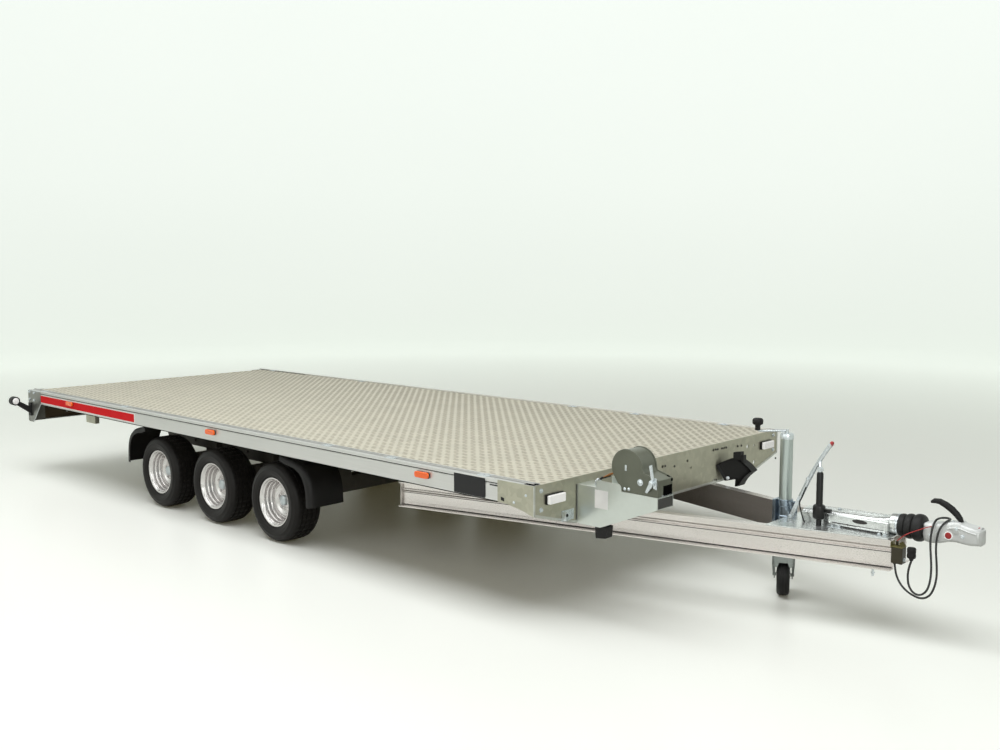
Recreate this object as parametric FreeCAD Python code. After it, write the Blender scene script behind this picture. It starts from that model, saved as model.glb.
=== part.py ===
"""Three-axle car hauler trailer with a flat tread-plate deck over the wheels.

Millimetres. X points forward to the coupling, Y to the trailer's left, Z up.
While it is being built, x = 0 is the front face of the deck; save() then moves
every piece so that the origin lies under the middle of the whole trailer, on
the ground. The trailer is level and stands on its six tyres and jockey wheel.
"""
import FreeCAD, Part
import math
import os

os.makedirs("parts", exist_ok=True)
V = FreeCAD.Vector
X_AXIS = V(1, 0, 0)
Y_AXIS = V(0, 1, 0)
Z_AXIS = V(0, 0, 1)

# Deck and side rails.
deck_length = 5215.0
deck_width = 2142.0
deck_height = 638.0          # ground to the top of the rails
rail_height = 98.0
rail_width = 45.0
rail_wall = 4.0
rail_groove_below_top = 23.0
rail_groove = 5.0
rail_slot = 9.0              # slot for lashing hooks, along the top of the rail
plate_thickness = 3.0
plate_below_top = 2.0        # the deck plate lies this far under the rail top
ledge_width = 20.0           # inner ledge of the rail, which carries the plate
ledge_thickness = 4.0
seat = 0.3                   # gap left where two pieces rest on each other
side_gap = 2.0               # gap beside a sheet that lies between two rails

# Underframe.
cross_height = 60.0
cross_width = 50.0
cross_wall = 3.0
cross_count = 9
cross_inset = 90.0           # the first and the last one, from the ends of the deck
side_beam_inset = 411.0      # web of each long beam, from the side of the deck
side_beam_flange = 50.0
side_beam_wall = 5.0
frame_depth = 214.0          # rail top to the underside of the long beams
side_beam_front = 30.0
side_beam_back = 65.0        # from the rear end of the deck
inner_beam_front = 30.0      # beams across the frame that carry the drawbar
inner_beam_middle = 760.0
inner_beam_rear = 315.0      # from the rear end of the deck

# Drawbar.
drawbar_height = 136.0
drawbar_front = 1185.0
drawbar_rear = 1290.0        # behind the front face of the deck
drawbar_nose_y = 105.0       # outer edge of the flange at the front end
drawbar_slope = 0.256        # sideways run for each unit of length
drawbar_flange = 45.0
drawbar_wall = 5.0
drawbar_rib = [(0, 56), (6, 47), (6, 42), (0, 38)]    # (out from the web, down from the top)

# Wheels and axles.
axle_x = [("front", -2059.0), ("middle", -2708.0), ("rear", -3357.0)]
tyre_diameter = 468.5
tyre_width = 195.0
tyre_wall = 11.0
bead_diameter = 254.0
rim_width = 165.0            # over the flanges
rim_flange_diameter = 288.0
rim_wall = 4.0
rim_well_diameter = 222.0
rim_inset = 60.0             # rim flange to the side of the deck
wheel_disc_depth = 86.0      # outer flange to the face of the wheel disc
drum_diameter = 200.0
drum_depth = 62.0
hub_cap_diameter = 64.0
hub_cap_length = 34.0
spindle_diameter = 40.0
axle_tube = 90.0
arm_length = 150.0
axle_foot_height = 69.5
arm_width = 45.0
backplate_thickness = 6.0
wheel_clear = 5.0
arm_clear = 10.0             # trailing arm to the inner side of the tyre
arm_clamp_front = 38.0       # ends of the trailing arm round the spindle
arm_clamp_back = 30.0
knuckle_radius = 36.0
axle_foot = 20.0             # foot beyond the axle tube, front and rear
axle_foot_half = 50.0

# Mudguards.
guard_thickness = 3.0
guard_inset = 21.0           # outer edge, from the side of the deck
guard_width = 232.0
guard_lip = 24.0             # rolled outer edge
guard_curve = [              # (along from the wheel centre, down from the rail)
    (130.0, 0.0), (199.0, 20.0), (290.0, 40.0), (358.0, 84.0), (395.0, 160.0), (405.0, 273.0),
]
guard_reach = {"front": 1.0, "rear": 0.9}

# Front panel and winch stand.
panel_thickness = 4.0
panel_foot_inset = 271.0     # end of the straight lower edge, from the side
panel_corner_drop = 138.0    # rail top to the lower corner
panel_hole_table = [         # (y, down from the rail top, diameter)
    (-91.0, 53.0, 16.0), (135.0, 55.0, 16.0), (169.0, 95.0, 12.0), (384.0, 31.0, 16.0),
    (490.0, 34.0, 16.0), (739.0, 58.0, 22.0), (811.0, 59.0, 12.0), (815.0, 157.0, 22.0),
    (395.0, 199.0, 22.0), (-859.0, 165.0, 18.0),
]
gusset_thickness = 3.0
front_gusset_length = 217.0
rear_gusset_length = 213.0
rear_gusset_foot = 75.0
rear_gusset_drop = 246.0     # rail top to its lower edge
rear_web_width = 120.0
stand_inset = 296.0          # near side, from the side of the deck
stand_width = 120.0
stand_length = 445.0
stand_drop = 34.0            # rail top to the top of the stand
stand_front_depth = 53.0
stand_knee_x = 136.0
stand_wall = 4.0
stand_ear_back = 112.0       # raised ears beside the winch's foot
stand_ear_front = 252.0
stand_ear_rise = 33.0
stand_ear_corner = 16.0
winch_x = 278.0
winch_rise = 110.0           # drum centre over the stand
winch_radius = 84.0
winch_cheek = 7.0            # cheek plate on either side of the drum cover
winch_cover_inset = 4.0      # drum cover, in from the edge of the cheeks
winch_case_curve = [         # (forward of the drum centre, up from the stand)
    (-78, 72), (-61, 51), (-26, 0.3), (166, 0.3), (166, 77), (103, 91), (86, 102),
]
winch_mouth_half = 31.0      # opening in the front of the gear case
winch_mouth_depth = 40.0
chock_depth = 110.0

# Jockey wheel.
jockey_x = 601.0
jockey_y = 60.0
jockey_tube_diameter = 60.0
jockey_tube_wall = 3.5
jockey_tube_drop = 52.0      # drawbar top to the lower end of the tube
jockey_tube_length = 430.0
jockey_slack = 0.5           # all round the leg in its tube
jockey_leg_in_tube = 215.0
jockey_wheel_diameter = 200.0
jockey_wheel_width = 62.0
jockey_trail = 58.0
jockey_fork_width = 90.0
jockey_fork_plate = 5.0
jockey_yaw = 117.7           # degrees from +X to the side the wheel trails to
crank_arm = 140.0
crank_yaw = -136.6           # degrees from +X
jockey_clamp_front = 60.0
jockey_clamp_half = 45.0
jockey_clamp_height = 108.0
jockey_clamp_ring = 38.0     # outer radius of the split ring round the tube
jockey_clamp_plate = 14.0
jockey_clamp_ear = 7.0
jockey_clamp_split = 6.0
jockey_clamp_bolt = 12.0

# Overrun device and coupling.
housing_rear = 745.0
housing_front = 1176.0
housing_half = 54.0
housing_height = 85.0
housing_wall = 5.0
housing_corner = 22.0        # chamfer along its upper edges
housing_collar_radius = 46.0
housing_collar_length = 26.0
housing_crown = [            # (forward of its rear, down from its highest line)
    (0, 28), (45, 22), (155, 17), (335, 13), (385, 6), (405, 0),
]
foot_plate_thickness = 5.0
coupling_rise = 50.0         # tow line over the drawbar top
overrun_tube_diameter = 60.0
overrun_tube_length = 190.0
overrun_tube_wall = 6.0
bellows_length = 118.0
bellows_radius = 60.0
bellows_folds = 4
coupling_nose = 1536.0
ball_diameter = 50.0
ball_back = 46.0             # nose to the ball's centre
coupling_sections = [        # (along, half width, foot, top), from its rear and the tow line
    (0, 30, -34, 30), (8, 37, -46, 34), (34, 37, -50, 36), (72, 36, -44, 40), (102, 34, -34, 50),
    (134, 35, -30, 56), (166, 40, -32, 50), (196, 42, -33, 44), (216, 40, -31, 41),
    (230, 33, -29, 38), (240, 20, -27, 34),
]
coupling_corner = 12.0
handle_half = 13.0
handle_curve = [             # (back from the ball, up from the tow line)
    (38, 52.3), (45, 68), (58, 82), (78, 102), (106, 122), (140, 137), (166, 136), (180, 124),
    (172, 116), (144, 122), (118, 111), (96, 96), (76, 76), (62, 56.1), (60, 56.3),
]
lever_plate_curve = [        # (along from the housing's rear, up from its foot plate)
    (-63, 0), (-45, 0), (-28, 34), (-6, 84), (47, 200), (32, 212), (-20, 96), (-46, 42),
]
lever_plate = 4.0
lever_bar_diameter = 17.0
lever_bar_line = [(-2, 112), (46, 216), (93, 300), (139, 374)]
strut_length = 246.0
strut_outline = [            # (radius, share of its length)
    (0, 0.0), (12, 0.0), (12, 0.11), (24, 0.13), (28, 0.16), (28, 0.34), (24, 0.375),
    (16, 0.385), (15, 0.41), (15, 0.95), (12, 0.985), (0, 1.0),
]
cable_diameter = 9.0
breakaway_diameter = 4.0
cable_box_foot = 320.0
tow_plug_radius = 19.0
tow_plug_length = 58.0

# Rear end.
rail_block_x = -4222.0       # hanging under each rail
rail_block_half = 68.0
rail_block_depth = 62.0
rail_block_width = 30.0
light_board_height = 105.0
light_board_depth = 40.0
rear_lamp_depth = 30.0
rear_lamp_half = 120.0
rear_lamp_inset = 190.0
outline_lamp_radius = 33.0
outline_lamp_length = 52.0
outline_lamp_reach = 124.0   # lamp centre beyond the rear gusset
outline_lamp_drop = 74.0
side_lamp_end = 716.0        # from either end of the deck
side_lamp_half = 48.0
side_lamp_drop = 46.0
front_lamp_inset = 133.0
front_lamp_half = 58.0
rear_reach = deck_length + light_board_depth + rear_lamp_depth

# Places that follow from the sizes above.
half_width = deck_width / 2
rail_bottom = deck_height - rail_height
frame_bottom = deck_height - frame_depth
side_beam_y = half_width - side_beam_inset
side_beam_rear = deck_length - side_beam_back
plate_top = deck_height - plate_below_top
plate_bottom = plate_top - plate_thickness
ledge_top = plate_bottom - seat
cross_top = ledge_top - ledge_thickness - seat
cross_bottom = cross_top - cross_height
side_beam_top = cross_bottom - seat
drawbar_top = frame_bottom - seat
drawbar_bottom = drawbar_top - drawbar_height
coupling_z = frame_bottom + coupling_rise
ball_x = coupling_nose - ball_back
wheel_z = tyre_diameter / 2
rim_outer_y = half_width - rim_inset
gusset_out = half_width + seat + gusset_thickness
rim_mid_y = rim_outer_y - rim_width / 2
disc_y = rim_outer_y - wheel_disc_depth
middle_x = (coupling_nose - rear_reach) / 2


def box(x0, x1, y0, y1, z0, z1):
    return Part.makeBox(x1 - x0, y1 - y0, z1 - z0, V(x0, y0, z0))


def cylinder(radius, length, base, axis):
    return Part.makeCylinder(radius, length, base, axis)


def plate_from(points, push):
    """A flat sheet: the closed outline through the points, pushed along a vector."""
    wire = Part.makePolygon(points + [points[0]])
    return Part.Face(wire).extrude(push)


def side_sheet(xz, y0, y1):
    return plate_from([V(x, y0, z) for x, z in xz], V(0, y1 - y0, 0))


def cross_section(yz, x0, x1):
    return plate_from([V(x0, y, z) for y, z in yz], V(x1 - x0, 0, 0))


def spin(profile, centre, axis_direction):
    """Turn a closed outline of (radius, along-axis) points about the Y axis."""
    wire = Part.makePolygon([V(r, a, 0) for r, a in profile + [profile[0]]])
    solid = Part.Face(wire).revolve(V(0, 0, 0), Y_AXIS, 360)
    turn = FreeCAD.Rotation(Y_AXIS, axis_direction)
    solid.Placement = FreeCAD.Placement(centre, turn)
    return solid


def mirrored(shape):
    return shape.mirror(V(0, 0, 0), Y_AXIS)


def fuse(shapes):
    return shapes[0].multiFuse(shapes[1:]).removeSplitter()


def save(name, shapes):
    whole = shapes if isinstance(shapes, Part.Shape) else Part.makeCompound(shapes)
    whole = whole.copy()
    whole.translate(V(-middle_x, 0, 0))
    whole.exportStep("parts/" + name + ".step")


# Deck.
plate_half = half_width - rail_width - side_gap
deck_plate = box(-deck_length + rail_width, -side_gap - panel_thickness,
                 -plate_half, plate_half, plate_bottom, plate_top)
save("deck_plate", deck_plate)

groove_z = deck_height - rail_groove_below_top
inner_y = half_width - rail_width
rail_outline = [
    (half_width, rail_bottom), (half_width, groove_z - rail_groove / 2),
    (half_width - 3, groove_z), (half_width, groove_z + rail_groove / 2),
    (half_width, deck_height), (inner_y, deck_height),
    (inner_y, ledge_top), (inner_y - ledge_width, ledge_top),
    (inner_y - ledge_width, ledge_top - ledge_thickness),
    (inner_y, ledge_top - ledge_thickness), (inner_y, rail_bottom),
]
rail_left = cross_section(rail_outline, -deck_length, -panel_thickness)
hollow = box(-deck_length - 1, 1, inner_y + rail_wall, half_width - 2 * rail_wall,
             rail_bottom + rail_wall, deck_height - rail_wall)
slot = box(-deck_length - 1, 1, inner_y + 12, inner_y + 12 + rail_slot,
           deck_height - rail_wall - 1, deck_height + 1)
rail_left = rail_left.cut(hollow).cut(slot)
save("side_rails", [rail_left, mirrored(rail_left)])

# Underframe.
cross_y = inner_y - side_gap
cross_step = (deck_length - 2 * cross_inset) / (cross_count - 1)
cross_members = []
for n in range(cross_count):
    x = -(cross_inset + n * cross_step)
    tube = box(x - cross_width / 2, x + cross_width / 2,
               -cross_y, cross_y, cross_bottom, cross_top)
    inside = box(x - cross_width / 2 + cross_wall, x + cross_width / 2 + 1,
                 -cross_y - 1, cross_y + 1, cross_bottom + cross_wall, cross_top - cross_wall)
    cross_members.append(tube.cut(inside))


def channel(length, height, flange, wall, rib=()):
    """A channel along +X: web on y = 0, flanges towards +Y, foot on z = 0.

    The rib, if any, is a list of (out from the web, down from the top) points.
    """
    outline = [(0, 0), (flange, 0), (flange, wall), (wall, wall)]
    outline += [(wall + out_by, height - down) for out_by, down in rib]
    outline += [(wall, height - wall), (flange, height - wall), (flange, height), (0, height)]
    return cross_section(outline, 0, length)


side_beam = channel(side_beam_rear - side_beam_front, side_beam_top - frame_bottom,
                    side_beam_flange, side_beam_wall)
side_beam.translate(V(-side_beam_rear, side_beam_y, frame_bottom))
save("side_beams", [side_beam, mirrored(side_beam)])

# Beams across the frame, which carry the drawbar.
for x in (-inner_beam_front, -inner_beam_middle, inner_beam_rear - deck_length):
    beam = channel(2 * (side_beam_y - seat), side_beam_top - frame_bottom,
                   side_beam_flange, side_beam_wall)
    beam.rotate(V(0, 0, 0), Z_AXIS, 90)
    beam.translate(V(x, -side_beam_y + seat, frame_bottom))
    cross_members.append(beam)
save("cross_members", cross_members)

# Drawbar.
drawbar_angle = math.degrees(math.atan(drawbar_slope))
drawbar_run = (drawbar_front + drawbar_rear) / math.cos(math.radians(drawbar_angle))
beam = channel(drawbar_run, drawbar_top - drawbar_bottom, drawbar_flange, drawbar_wall,
               drawbar_rib)
beam.rotate(V(0, 0, 0), Z_AXIS, 180)
beam = beam.mirror(V(0, 0, 0), Y_AXIS)
beam.rotate(V(0, 0, 0), Z_AXIS, -drawbar_angle)
beam.translate(V(drawbar_front, drawbar_nose_y - drawbar_flange, drawbar_bottom))
beam = beam.cut(box(drawbar_front + side_gap - seat, drawbar_front + drawbar_flange, -half_width, half_width,
                    drawbar_bottom - 1, drawbar_top + 1))
save("drawbar_beams", [beam, mirrored(beam)])


def drawbar_web_y(x):
    """Inner face of a drawbar beam's web at a place along the trailer."""
    return drawbar_nose_y - drawbar_flange + (drawbar_front - x) * drawbar_slope


# Axles.
arm_y1 = rim_mid_y - tyre_width / 2 - arm_clear
arm_y0 = arm_y1 - arm_width
backplate_y = disc_y - drum_depth - wheel_clear - backplate_thickness
spindle_end = disc_y + hub_cap_length * 0.4
beam_half = axle_tube / 2
beam_z = frame_bottom - seat - axle_foot_height - beam_half
for name, x in axle_x:
    beam_x = x + arm_length
    pieces = [box(beam_x - beam_half, beam_x + beam_half, -arm_y0, arm_y0,
                  beam_z - beam_half, beam_z + beam_half)]
    for side in (-1, 1):
        out = V(0, side, 0)
        arm = side_sheet([
            (beam_x + beam_half, beam_z - beam_half), (beam_x + beam_half, beam_z + beam_half),
            (beam_x - beam_half, beam_z + beam_half), (x - arm_clamp_front, wheel_z + arm_clamp_back),
            (x - arm_clamp_front, wheel_z - arm_clamp_front),
            (x + arm_clamp_back, wheel_z - arm_clamp_front),
        ], side * arm_y0, side * arm_y1)
        knuckle = cylinder(knuckle_radius, backplate_y - arm_y0, V(x, side * arm_y0, wheel_z), out)
        plate = cylinder(drum_diameter / 2 + 4, backplate_thickness,
                         V(x, side * backplate_y, wheel_z), out)
        spindle = cylinder(spindle_diameter / 2, spindle_end - backplate_y,
                           V(x, side * backplate_y, wheel_z), out)
        foot = box(beam_x - beam_half - axle_foot, beam_x + beam_half + axle_foot,
                   side * side_beam_y - axle_foot_half, side * side_beam_y + axle_foot_half,
                   beam_z + beam_half - 1, frame_bottom - seat)
        pieces += [arm, knuckle, plate, spindle, foot]
    save("axle_" + name, fuse(pieces))

# Wheels. Each outline lists (radius, along the axle, outwards).
tr = tyre_diameter / 2
tw = tyre_width / 2
br = bead_diameter / 2
rw = rim_width / 2
tyre_side = [
    (br + 1, rw - 14), (br + 16, rw - 12), (br + 22, rw + 4), (br + 55, tw),
    (tr - 24, tw - 5), (tr, tw - 42),
]
tyre_lining = [(br + 1, rw - 26), (br + 50, tw - tyre_wall), (tr - tyre_wall, tw - 48)]
tyre_outline = [(r, -along) for r, along in tyre_side]
tyre_outline += list(reversed(tyre_side))
tyre_outline += tyre_lining
tyre_outline += [(r, -along) for r, along in reversed(tyre_lining)]
fr = rim_flange_diameter / 2
wr = rim_well_diameter / 2
dr = drum_diameter / 2
cap_r = hub_cap_diameter / 2
disc = disc_y - rim_mid_y
cap_end = disc + hub_cap_length
drum_back = disc - drum_depth
hub_bore = spindle_diameter / 2 + 0.5
hub_wall = 14.0
rim_outline = [
    (fr, rw), (fr, rw - rim_wall), (br, rw - 13), (br, rw - 40), (wr, rw - 58),
    (wr, -rw + 44), (br, -rw + 32), (br, -rw + 13), (fr, -rw + rim_wall), (fr, -rw),
    (br - rim_wall, -rw + 10), (br - rim_wall, -rw + 30), (wr - rim_wall, -rw + 42),
    (wr - rim_wall, disc - 4), (dr, disc - 4), (dr, drum_back), (dr - 8, drum_back),
    (dr - 8, disc - hub_wall), (hub_bore + hub_wall, disc - hub_wall),
    (hub_bore + hub_wall, drum_back), (hub_bore, drum_back), (hub_bore, cap_end - 6),
    (0, cap_end - 6), (0, cap_end), (cap_r - 5, cap_end), (cap_r, cap_end - 6), (cap_r, disc + 4),
    (62, disc + 4), (78, disc + 12), (wr - rim_wall, disc + 4), (wr - rim_wall, rw - 60),
    (br - rim_wall, rw - 40), (br - rim_wall, rw - 10),
]
for name, x in axle_x:
    for side, direction in (("left", 1), ("right", -1)):
        centre = V(x, direction * rim_mid_y, wheel_z)
        out = V(0, direction, 0)
        save("tyre_" + name + "_" + side, spin(tyre_outline, centre, out))
        save("rim_" + name + "_" + side, spin(rim_outline, centre, out))

# Mudguards: a curved sheet with a rolled lip along its outer edge.
guard_outer_y = half_width - guard_inset
guard_top = rail_bottom - seat


def guard_points(x, reach, inset):
    """The curve of a guard over the wheel at x, moved towards the wheel by inset."""
    points = []
    for along, down in guard_curve:
        z = guard_top - down
        scale = 1 - inset / math.hypot(along, z - wheel_z)
        points.append((x + reach * along * scale, wheel_z + (z - wheel_z) * scale))
    return points


guards = []
for x, reach in ((axle_x[0][1], guard_reach["front"]), (axle_x[2][1], -guard_reach["rear"])):
    skin = guard_points(x, reach, 0) + guard_points(x, reach, guard_thickness)[::-1]
    lip = guard_points(x, reach, 0) + guard_points(x, reach, guard_lip)[::-1]
    guards.append(fuse([
        side_sheet(skin, guard_outer_y - guard_width, guard_outer_y),
        side_sheet(lip, guard_outer_y - guard_thickness, guard_outer_y),
    ]))
save("mudguards", guards + [mirrored(guard) for guard in guards])

# Front panel and corner gussets.
panel_foot = half_width - panel_foot_inset
panel_corner_z = deck_height - panel_corner_drop
front_panel = cross_section([
    (-half_width, panel_corner_z), (-panel_foot, frame_bottom), (panel_foot, frame_bottom),
    (half_width, panel_corner_z), (half_width, deck_height), (-half_width, deck_height),
], -panel_thickness, 0)
front_gusset = side_sheet([
    (-front_gusset_length, rail_bottom - 2), (-150, rail_bottom - 6), (-60, rail_bottom - 22),
    (0, panel_corner_z), (0, deck_height), (-front_gusset_length, deck_height),
], half_width + seat, gusset_out)
panel_wing = box(-panel_thickness, 0, half_width - 1, gusset_out, panel_corner_z, deck_height)
front_panel = fuse([front_panel, panel_wing, mirrored(panel_wing),
                    front_gusset, mirrored(front_gusset)])
for y, drop, diameter in panel_hole_table:
    drill = cylinder(diameter / 2, 3 * panel_thickness,
                     V(-2 * panel_thickness, y, deck_height - drop), X_AXIS)
    front_panel = front_panel.cut(drill)
save("front_panel", front_panel)

rear_gusset_bottom = deck_height - rear_gusset_drop
rear_gusset_top = deck_height - 4
rear_gusset = side_sheet([
    (-deck_length, rear_gusset_bottom), (-deck_length + rear_gusset_foot, rear_gusset_bottom),
    (-deck_length + rear_gusset_length, rail_bottom),
    (-deck_length + rear_gusset_length, rear_gusset_top), (-deck_length, rear_gusset_top),
], half_width + seat, gusset_out)
rear_web = box(-deck_length - gusset_thickness, -deck_length, half_width - rear_web_width,
               gusset_out, rear_gusset_bottom, rear_gusset_top)
rear_gusset = fuse([rear_gusset, rear_web])
save("rear_gussets", [rear_gusset, mirrored(rear_gusset)])

rail_block = box(rail_block_x - rail_block_half, rail_block_x + rail_block_half,
                 half_width - rail_width, half_width - rail_width + rail_block_width,
                 rail_bottom - seat - rail_block_depth, rail_bottom - seat)
save("rail_blocks", [rail_block, mirrored(rail_block)])

# Light board and lamps.
board_wall = 3.0
board_front = -deck_length - gusset_thickness - seat
board_back = board_front - light_board_depth + gusset_thickness + seat
board_y = half_width - 8
board_top = rear_gusset_bottom + light_board_height
light_board = box(board_back, board_front, -board_y, board_y, rear_gusset_bottom, board_top)
inside = box(board_back + board_wall, board_front + 1, -board_y - 1, board_y + 1,
             rear_gusset_bottom + board_wall, board_top - board_wall)
save("light_board", light_board.cut(inside))

rear_lamps = []
for side in (-1, 1):
    y = side * (half_width - rear_lamp_inset)
    rear_lamps.append(box(board_back - rear_lamp_depth, board_back - seat,
                          y - rear_lamp_half, y + rear_lamp_half,
                          rear_gusset_bottom + 8, board_top - 8))
save("rear_lamps", rear_lamps)

outline_lamp_x = -deck_length + 40
outline_lamp_y = gusset_out + outline_lamp_reach
outline_lamp_z = deck_height - outline_lamp_drop
foot_y = gusset_out + seat


def arm_section(y, half_length, z, half_height):
    corners = [(-1, -1), (1, -1), (1, 1), (-1, 1), (-1, -1)]
    return Part.makePolygon([
        V(outline_lamp_x + along * half_length, y, z + up * half_height) for along, up in corners])


foot = box(outline_lamp_x - 20, outline_lamp_x + 20, foot_y, foot_y + 12,
           outline_lamp_z - 124, outline_lamp_z - 24)
rubber_arm = Part.makeLoft([
    arm_section(foot_y + 10, 15, outline_lamp_z - 79, 25),
    arm_section(outline_lamp_y - 18, 13, outline_lamp_z - 15, 19),
], True)
head = cylinder(outline_lamp_radius, outline_lamp_length,
                V(outline_lamp_x - outline_lamp_length / 2, outline_lamp_y, outline_lamp_z), X_AXIS)
outline_lamp = fuse([foot, rubber_arm, head])
save("outline_lamps", [outline_lamp, mirrored(outline_lamp)])

side_lamps = []
for x in (-side_lamp_end, -deck_length / 2, side_lamp_end - deck_length):
    z = deck_height - side_lamp_drop
    lamp = box(x - side_lamp_half, x + side_lamp_half, half_width + seat, half_width + 18,
               z - 16, z + 16)
    side_lamps += [lamp, mirrored(lamp)]
save("side_lamps", side_lamps)

front_lamp_y = half_width - front_lamp_inset
front_lamp = box(seat, 28, front_lamp_y - front_lamp_half, front_lamp_y + front_lamp_half,
                 rail_bottom + 5, rail_bottom + 48)
save("front_lamps", [front_lamp, mirrored(front_lamp)])

# Winch on its stand, a folded sheet that is open underneath.
stand_y0 = -half_width + stand_inset
stand_y1 = stand_y0 + stand_width
stand_top = deck_height - stand_drop
stand_foot = frame_bottom - 2
stand_side = side_sheet([
    (seat, stand_foot), (stand_knee_x, stand_foot),
    (stand_length, stand_top - stand_front_depth), (stand_length, stand_top),
    (stand_ear_front, stand_top), (stand_ear_front, stand_top + stand_ear_rise - stand_ear_corner),
    (stand_ear_front - stand_ear_corner, stand_top + stand_ear_rise),
    (stand_ear_back, stand_top + stand_ear_rise), (stand_ear_back, stand_top), (seat, stand_top),
], stand_y0, stand_y0 + stand_wall)
stand_far = stand_side.copy()
stand_far.translate(V(0, stand_width - stand_wall, 0))
stand_lid = box(seat, stand_length, stand_y0, stand_y1, stand_top - stand_wall, stand_top)
stand_front = box(stand_length - stand_wall, stand_length, stand_y0, stand_y1,
                  stand_top - stand_front_depth, stand_top)
stand_back = box(seat, seat + stand_wall, stand_y0, stand_y1, stand_foot, stand_top)
save("winch_stand", fuse([stand_side, stand_far, stand_lid, stand_front, stand_back]))

winch_z = stand_top + winch_rise
winch_case_front = winch_x + winch_case_curve[3][0]


def winch_layer(radius, curve, y0, y1):
    drum = cylinder(radius, y1 - y0, V(winch_x, y0, winch_z), Y_AXIS)
    case = side_sheet([(winch_x + along, stand_top + up) for along, up in curve], y0, y1)
    return drum.fuse(case)


cover_curve = winch_case_curve[:5] + [(101, 87), (84, 98)]
winch_y0 = stand_y0 + stand_wall + seat
winch_y1 = stand_y1 - stand_wall - seat
winch_body = fuse([
    winch_layer(winch_radius, winch_case_curve, winch_y0, winch_y0 + winch_cheek),
    winch_layer(winch_radius, winch_case_curve, winch_y1 - winch_cheek, winch_y1),
    winch_layer(winch_radius - winch_cover_inset, cover_curve,
                winch_y0 + winch_cheek, winch_y1 - winch_cheek),
])
winch_middle_y = stand_y0 + stand_width / 2
winch_mouth = box(winch_case_front - winch_mouth_depth, winch_case_front + 1,
                  winch_middle_y - winch_mouth_half, winch_middle_y + winch_mouth_half,
                  stand_top + 5, stand_top + 46)
save("winch_body", winch_body.cut(winch_mouth))

# Wheel chock on the front panel. Its ends list (y, over the drawbar top).
chock_back_end = [(404, 97), (585, 142), (666, 125), (607, -14), (510, -10)]
chock_front_end = [(437, 138), (478, 165), (672, 49), (511, -30), (443, -19)]


def chock_end(x, end):
    corners = [V(x, y, frame_bottom + up) for y, up in end]
    return Part.makePolygon(corners + [corners[0]])


chock = Part.makeLoft([chock_end(seat, chock_back_end),
                       chock_end(chock_depth, chock_front_end)], True, True)
save("wheel_chock", chock)

# Jockey wheel.
jockey_tube_bottom = frame_bottom - jockey_tube_drop
jockey_tube_top = jockey_tube_bottom + jockey_tube_length
jockey_post = V(jockey_x, jockey_y, jockey_tube_bottom)
clamp_z0 = jockey_tube_bottom + 8
clamp_z1 = clamp_z0 + jockey_clamp_height
clamp_back = jockey_x - jockey_clamp_half
ear_half = jockey_clamp_split / 2 + jockey_clamp_ear
clamp = fuse([
    cylinder(jockey_clamp_ring, jockey_clamp_height, V(jockey_x, jockey_y, clamp_z0), Z_AXIS),
    box(clamp_back, clamp_back + jockey_clamp_plate, jockey_y - jockey_clamp_half,
        jockey_y + jockey_clamp_half, clamp_z0, clamp_z1),
    box(jockey_x, jockey_x + jockey_clamp_front, jockey_y - ear_half, jockey_y + ear_half,
        clamp_z0, clamp_z1),
])
split = box(jockey_x, jockey_x + jockey_clamp_front + 1, jockey_y - jockey_clamp_split / 2,
            jockey_y + jockey_clamp_split / 2, clamp_z0 - 1, clamp_z1 + 1)
clamp_bore = cylinder(jockey_tube_diameter / 2 + seat, jockey_tube_length, jockey_post, Z_AXIS)
clamp_bolt = cylinder(jockey_clamp_bolt / 2, 2 * ear_half + 16,
                      V(jockey_x + jockey_clamp_front - 12, jockey_y - ear_half - 8,
                        clamp_z0 + 0.65 * jockey_clamp_height), Y_AXIS)
clamp = fuse([clamp.cut(split).cut(clamp_bore), clamp_bolt])
save("jockey_clamp", clamp)
tube = cylinder(jockey_tube_diameter / 2, jockey_tube_length, jockey_post, Z_AXIS)
bore = cylinder(jockey_tube_diameter / 2 - jockey_tube_wall, jockey_tube_length - 6,
                jockey_post, Z_AXIS)
save("jockey_tube", tube.cut(bore))

jockey_leg_diameter = jockey_tube_diameter - 2 * jockey_tube_wall - 2 * jockey_slack
fork_top = jockey_wheel_diameter + 2 * wheel_clear + jockey_fork_plate
leg = cylinder(jockey_leg_diameter / 2, jockey_tube_bottom + jockey_leg_in_tube - fork_top - seat,
               V(jockey_x, jockey_y, fork_top + seat), Z_AXIS)
save("jockey_leg", leg)


def in_fork_frame(shape):
    """Place a shape drawn with the wheel behind the leg, along +X, at the swivel."""
    shape.rotate(V(0, 0, 0), Z_AXIS, jockey_yaw)
    shape.translate(V(jockey_x, jockey_y, 0))
    return shape


wheel_r = jockey_wheel_diameter / 2
fork_half = jockey_fork_width / 2
fork_back = -34.0
fork_front = jockey_trail + 55
fork_lid = box(fork_back, fork_front, -fork_half, fork_half,
               fork_top - jockey_fork_plate, fork_top)
fork_cheek = side_sheet([
    (fork_back, fork_top - 1), (fork_back, fork_top - 30), (jockey_trail - 22, wheel_r - 16),
    (jockey_trail + 22, wheel_r - 16), (fork_front, fork_top - 40), (fork_front, fork_top - 1),
], fork_half - jockey_fork_plate, fork_half)
fork_pin = cylinder(8, jockey_fork_width, V(jockey_trail, -fork_half, wheel_r), Y_AXIS)
fork = fuse([fork_lid, fork_cheek, mirrored(fork_cheek), fork_pin])
save("jockey_fork", in_fork_frame(fork))

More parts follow.
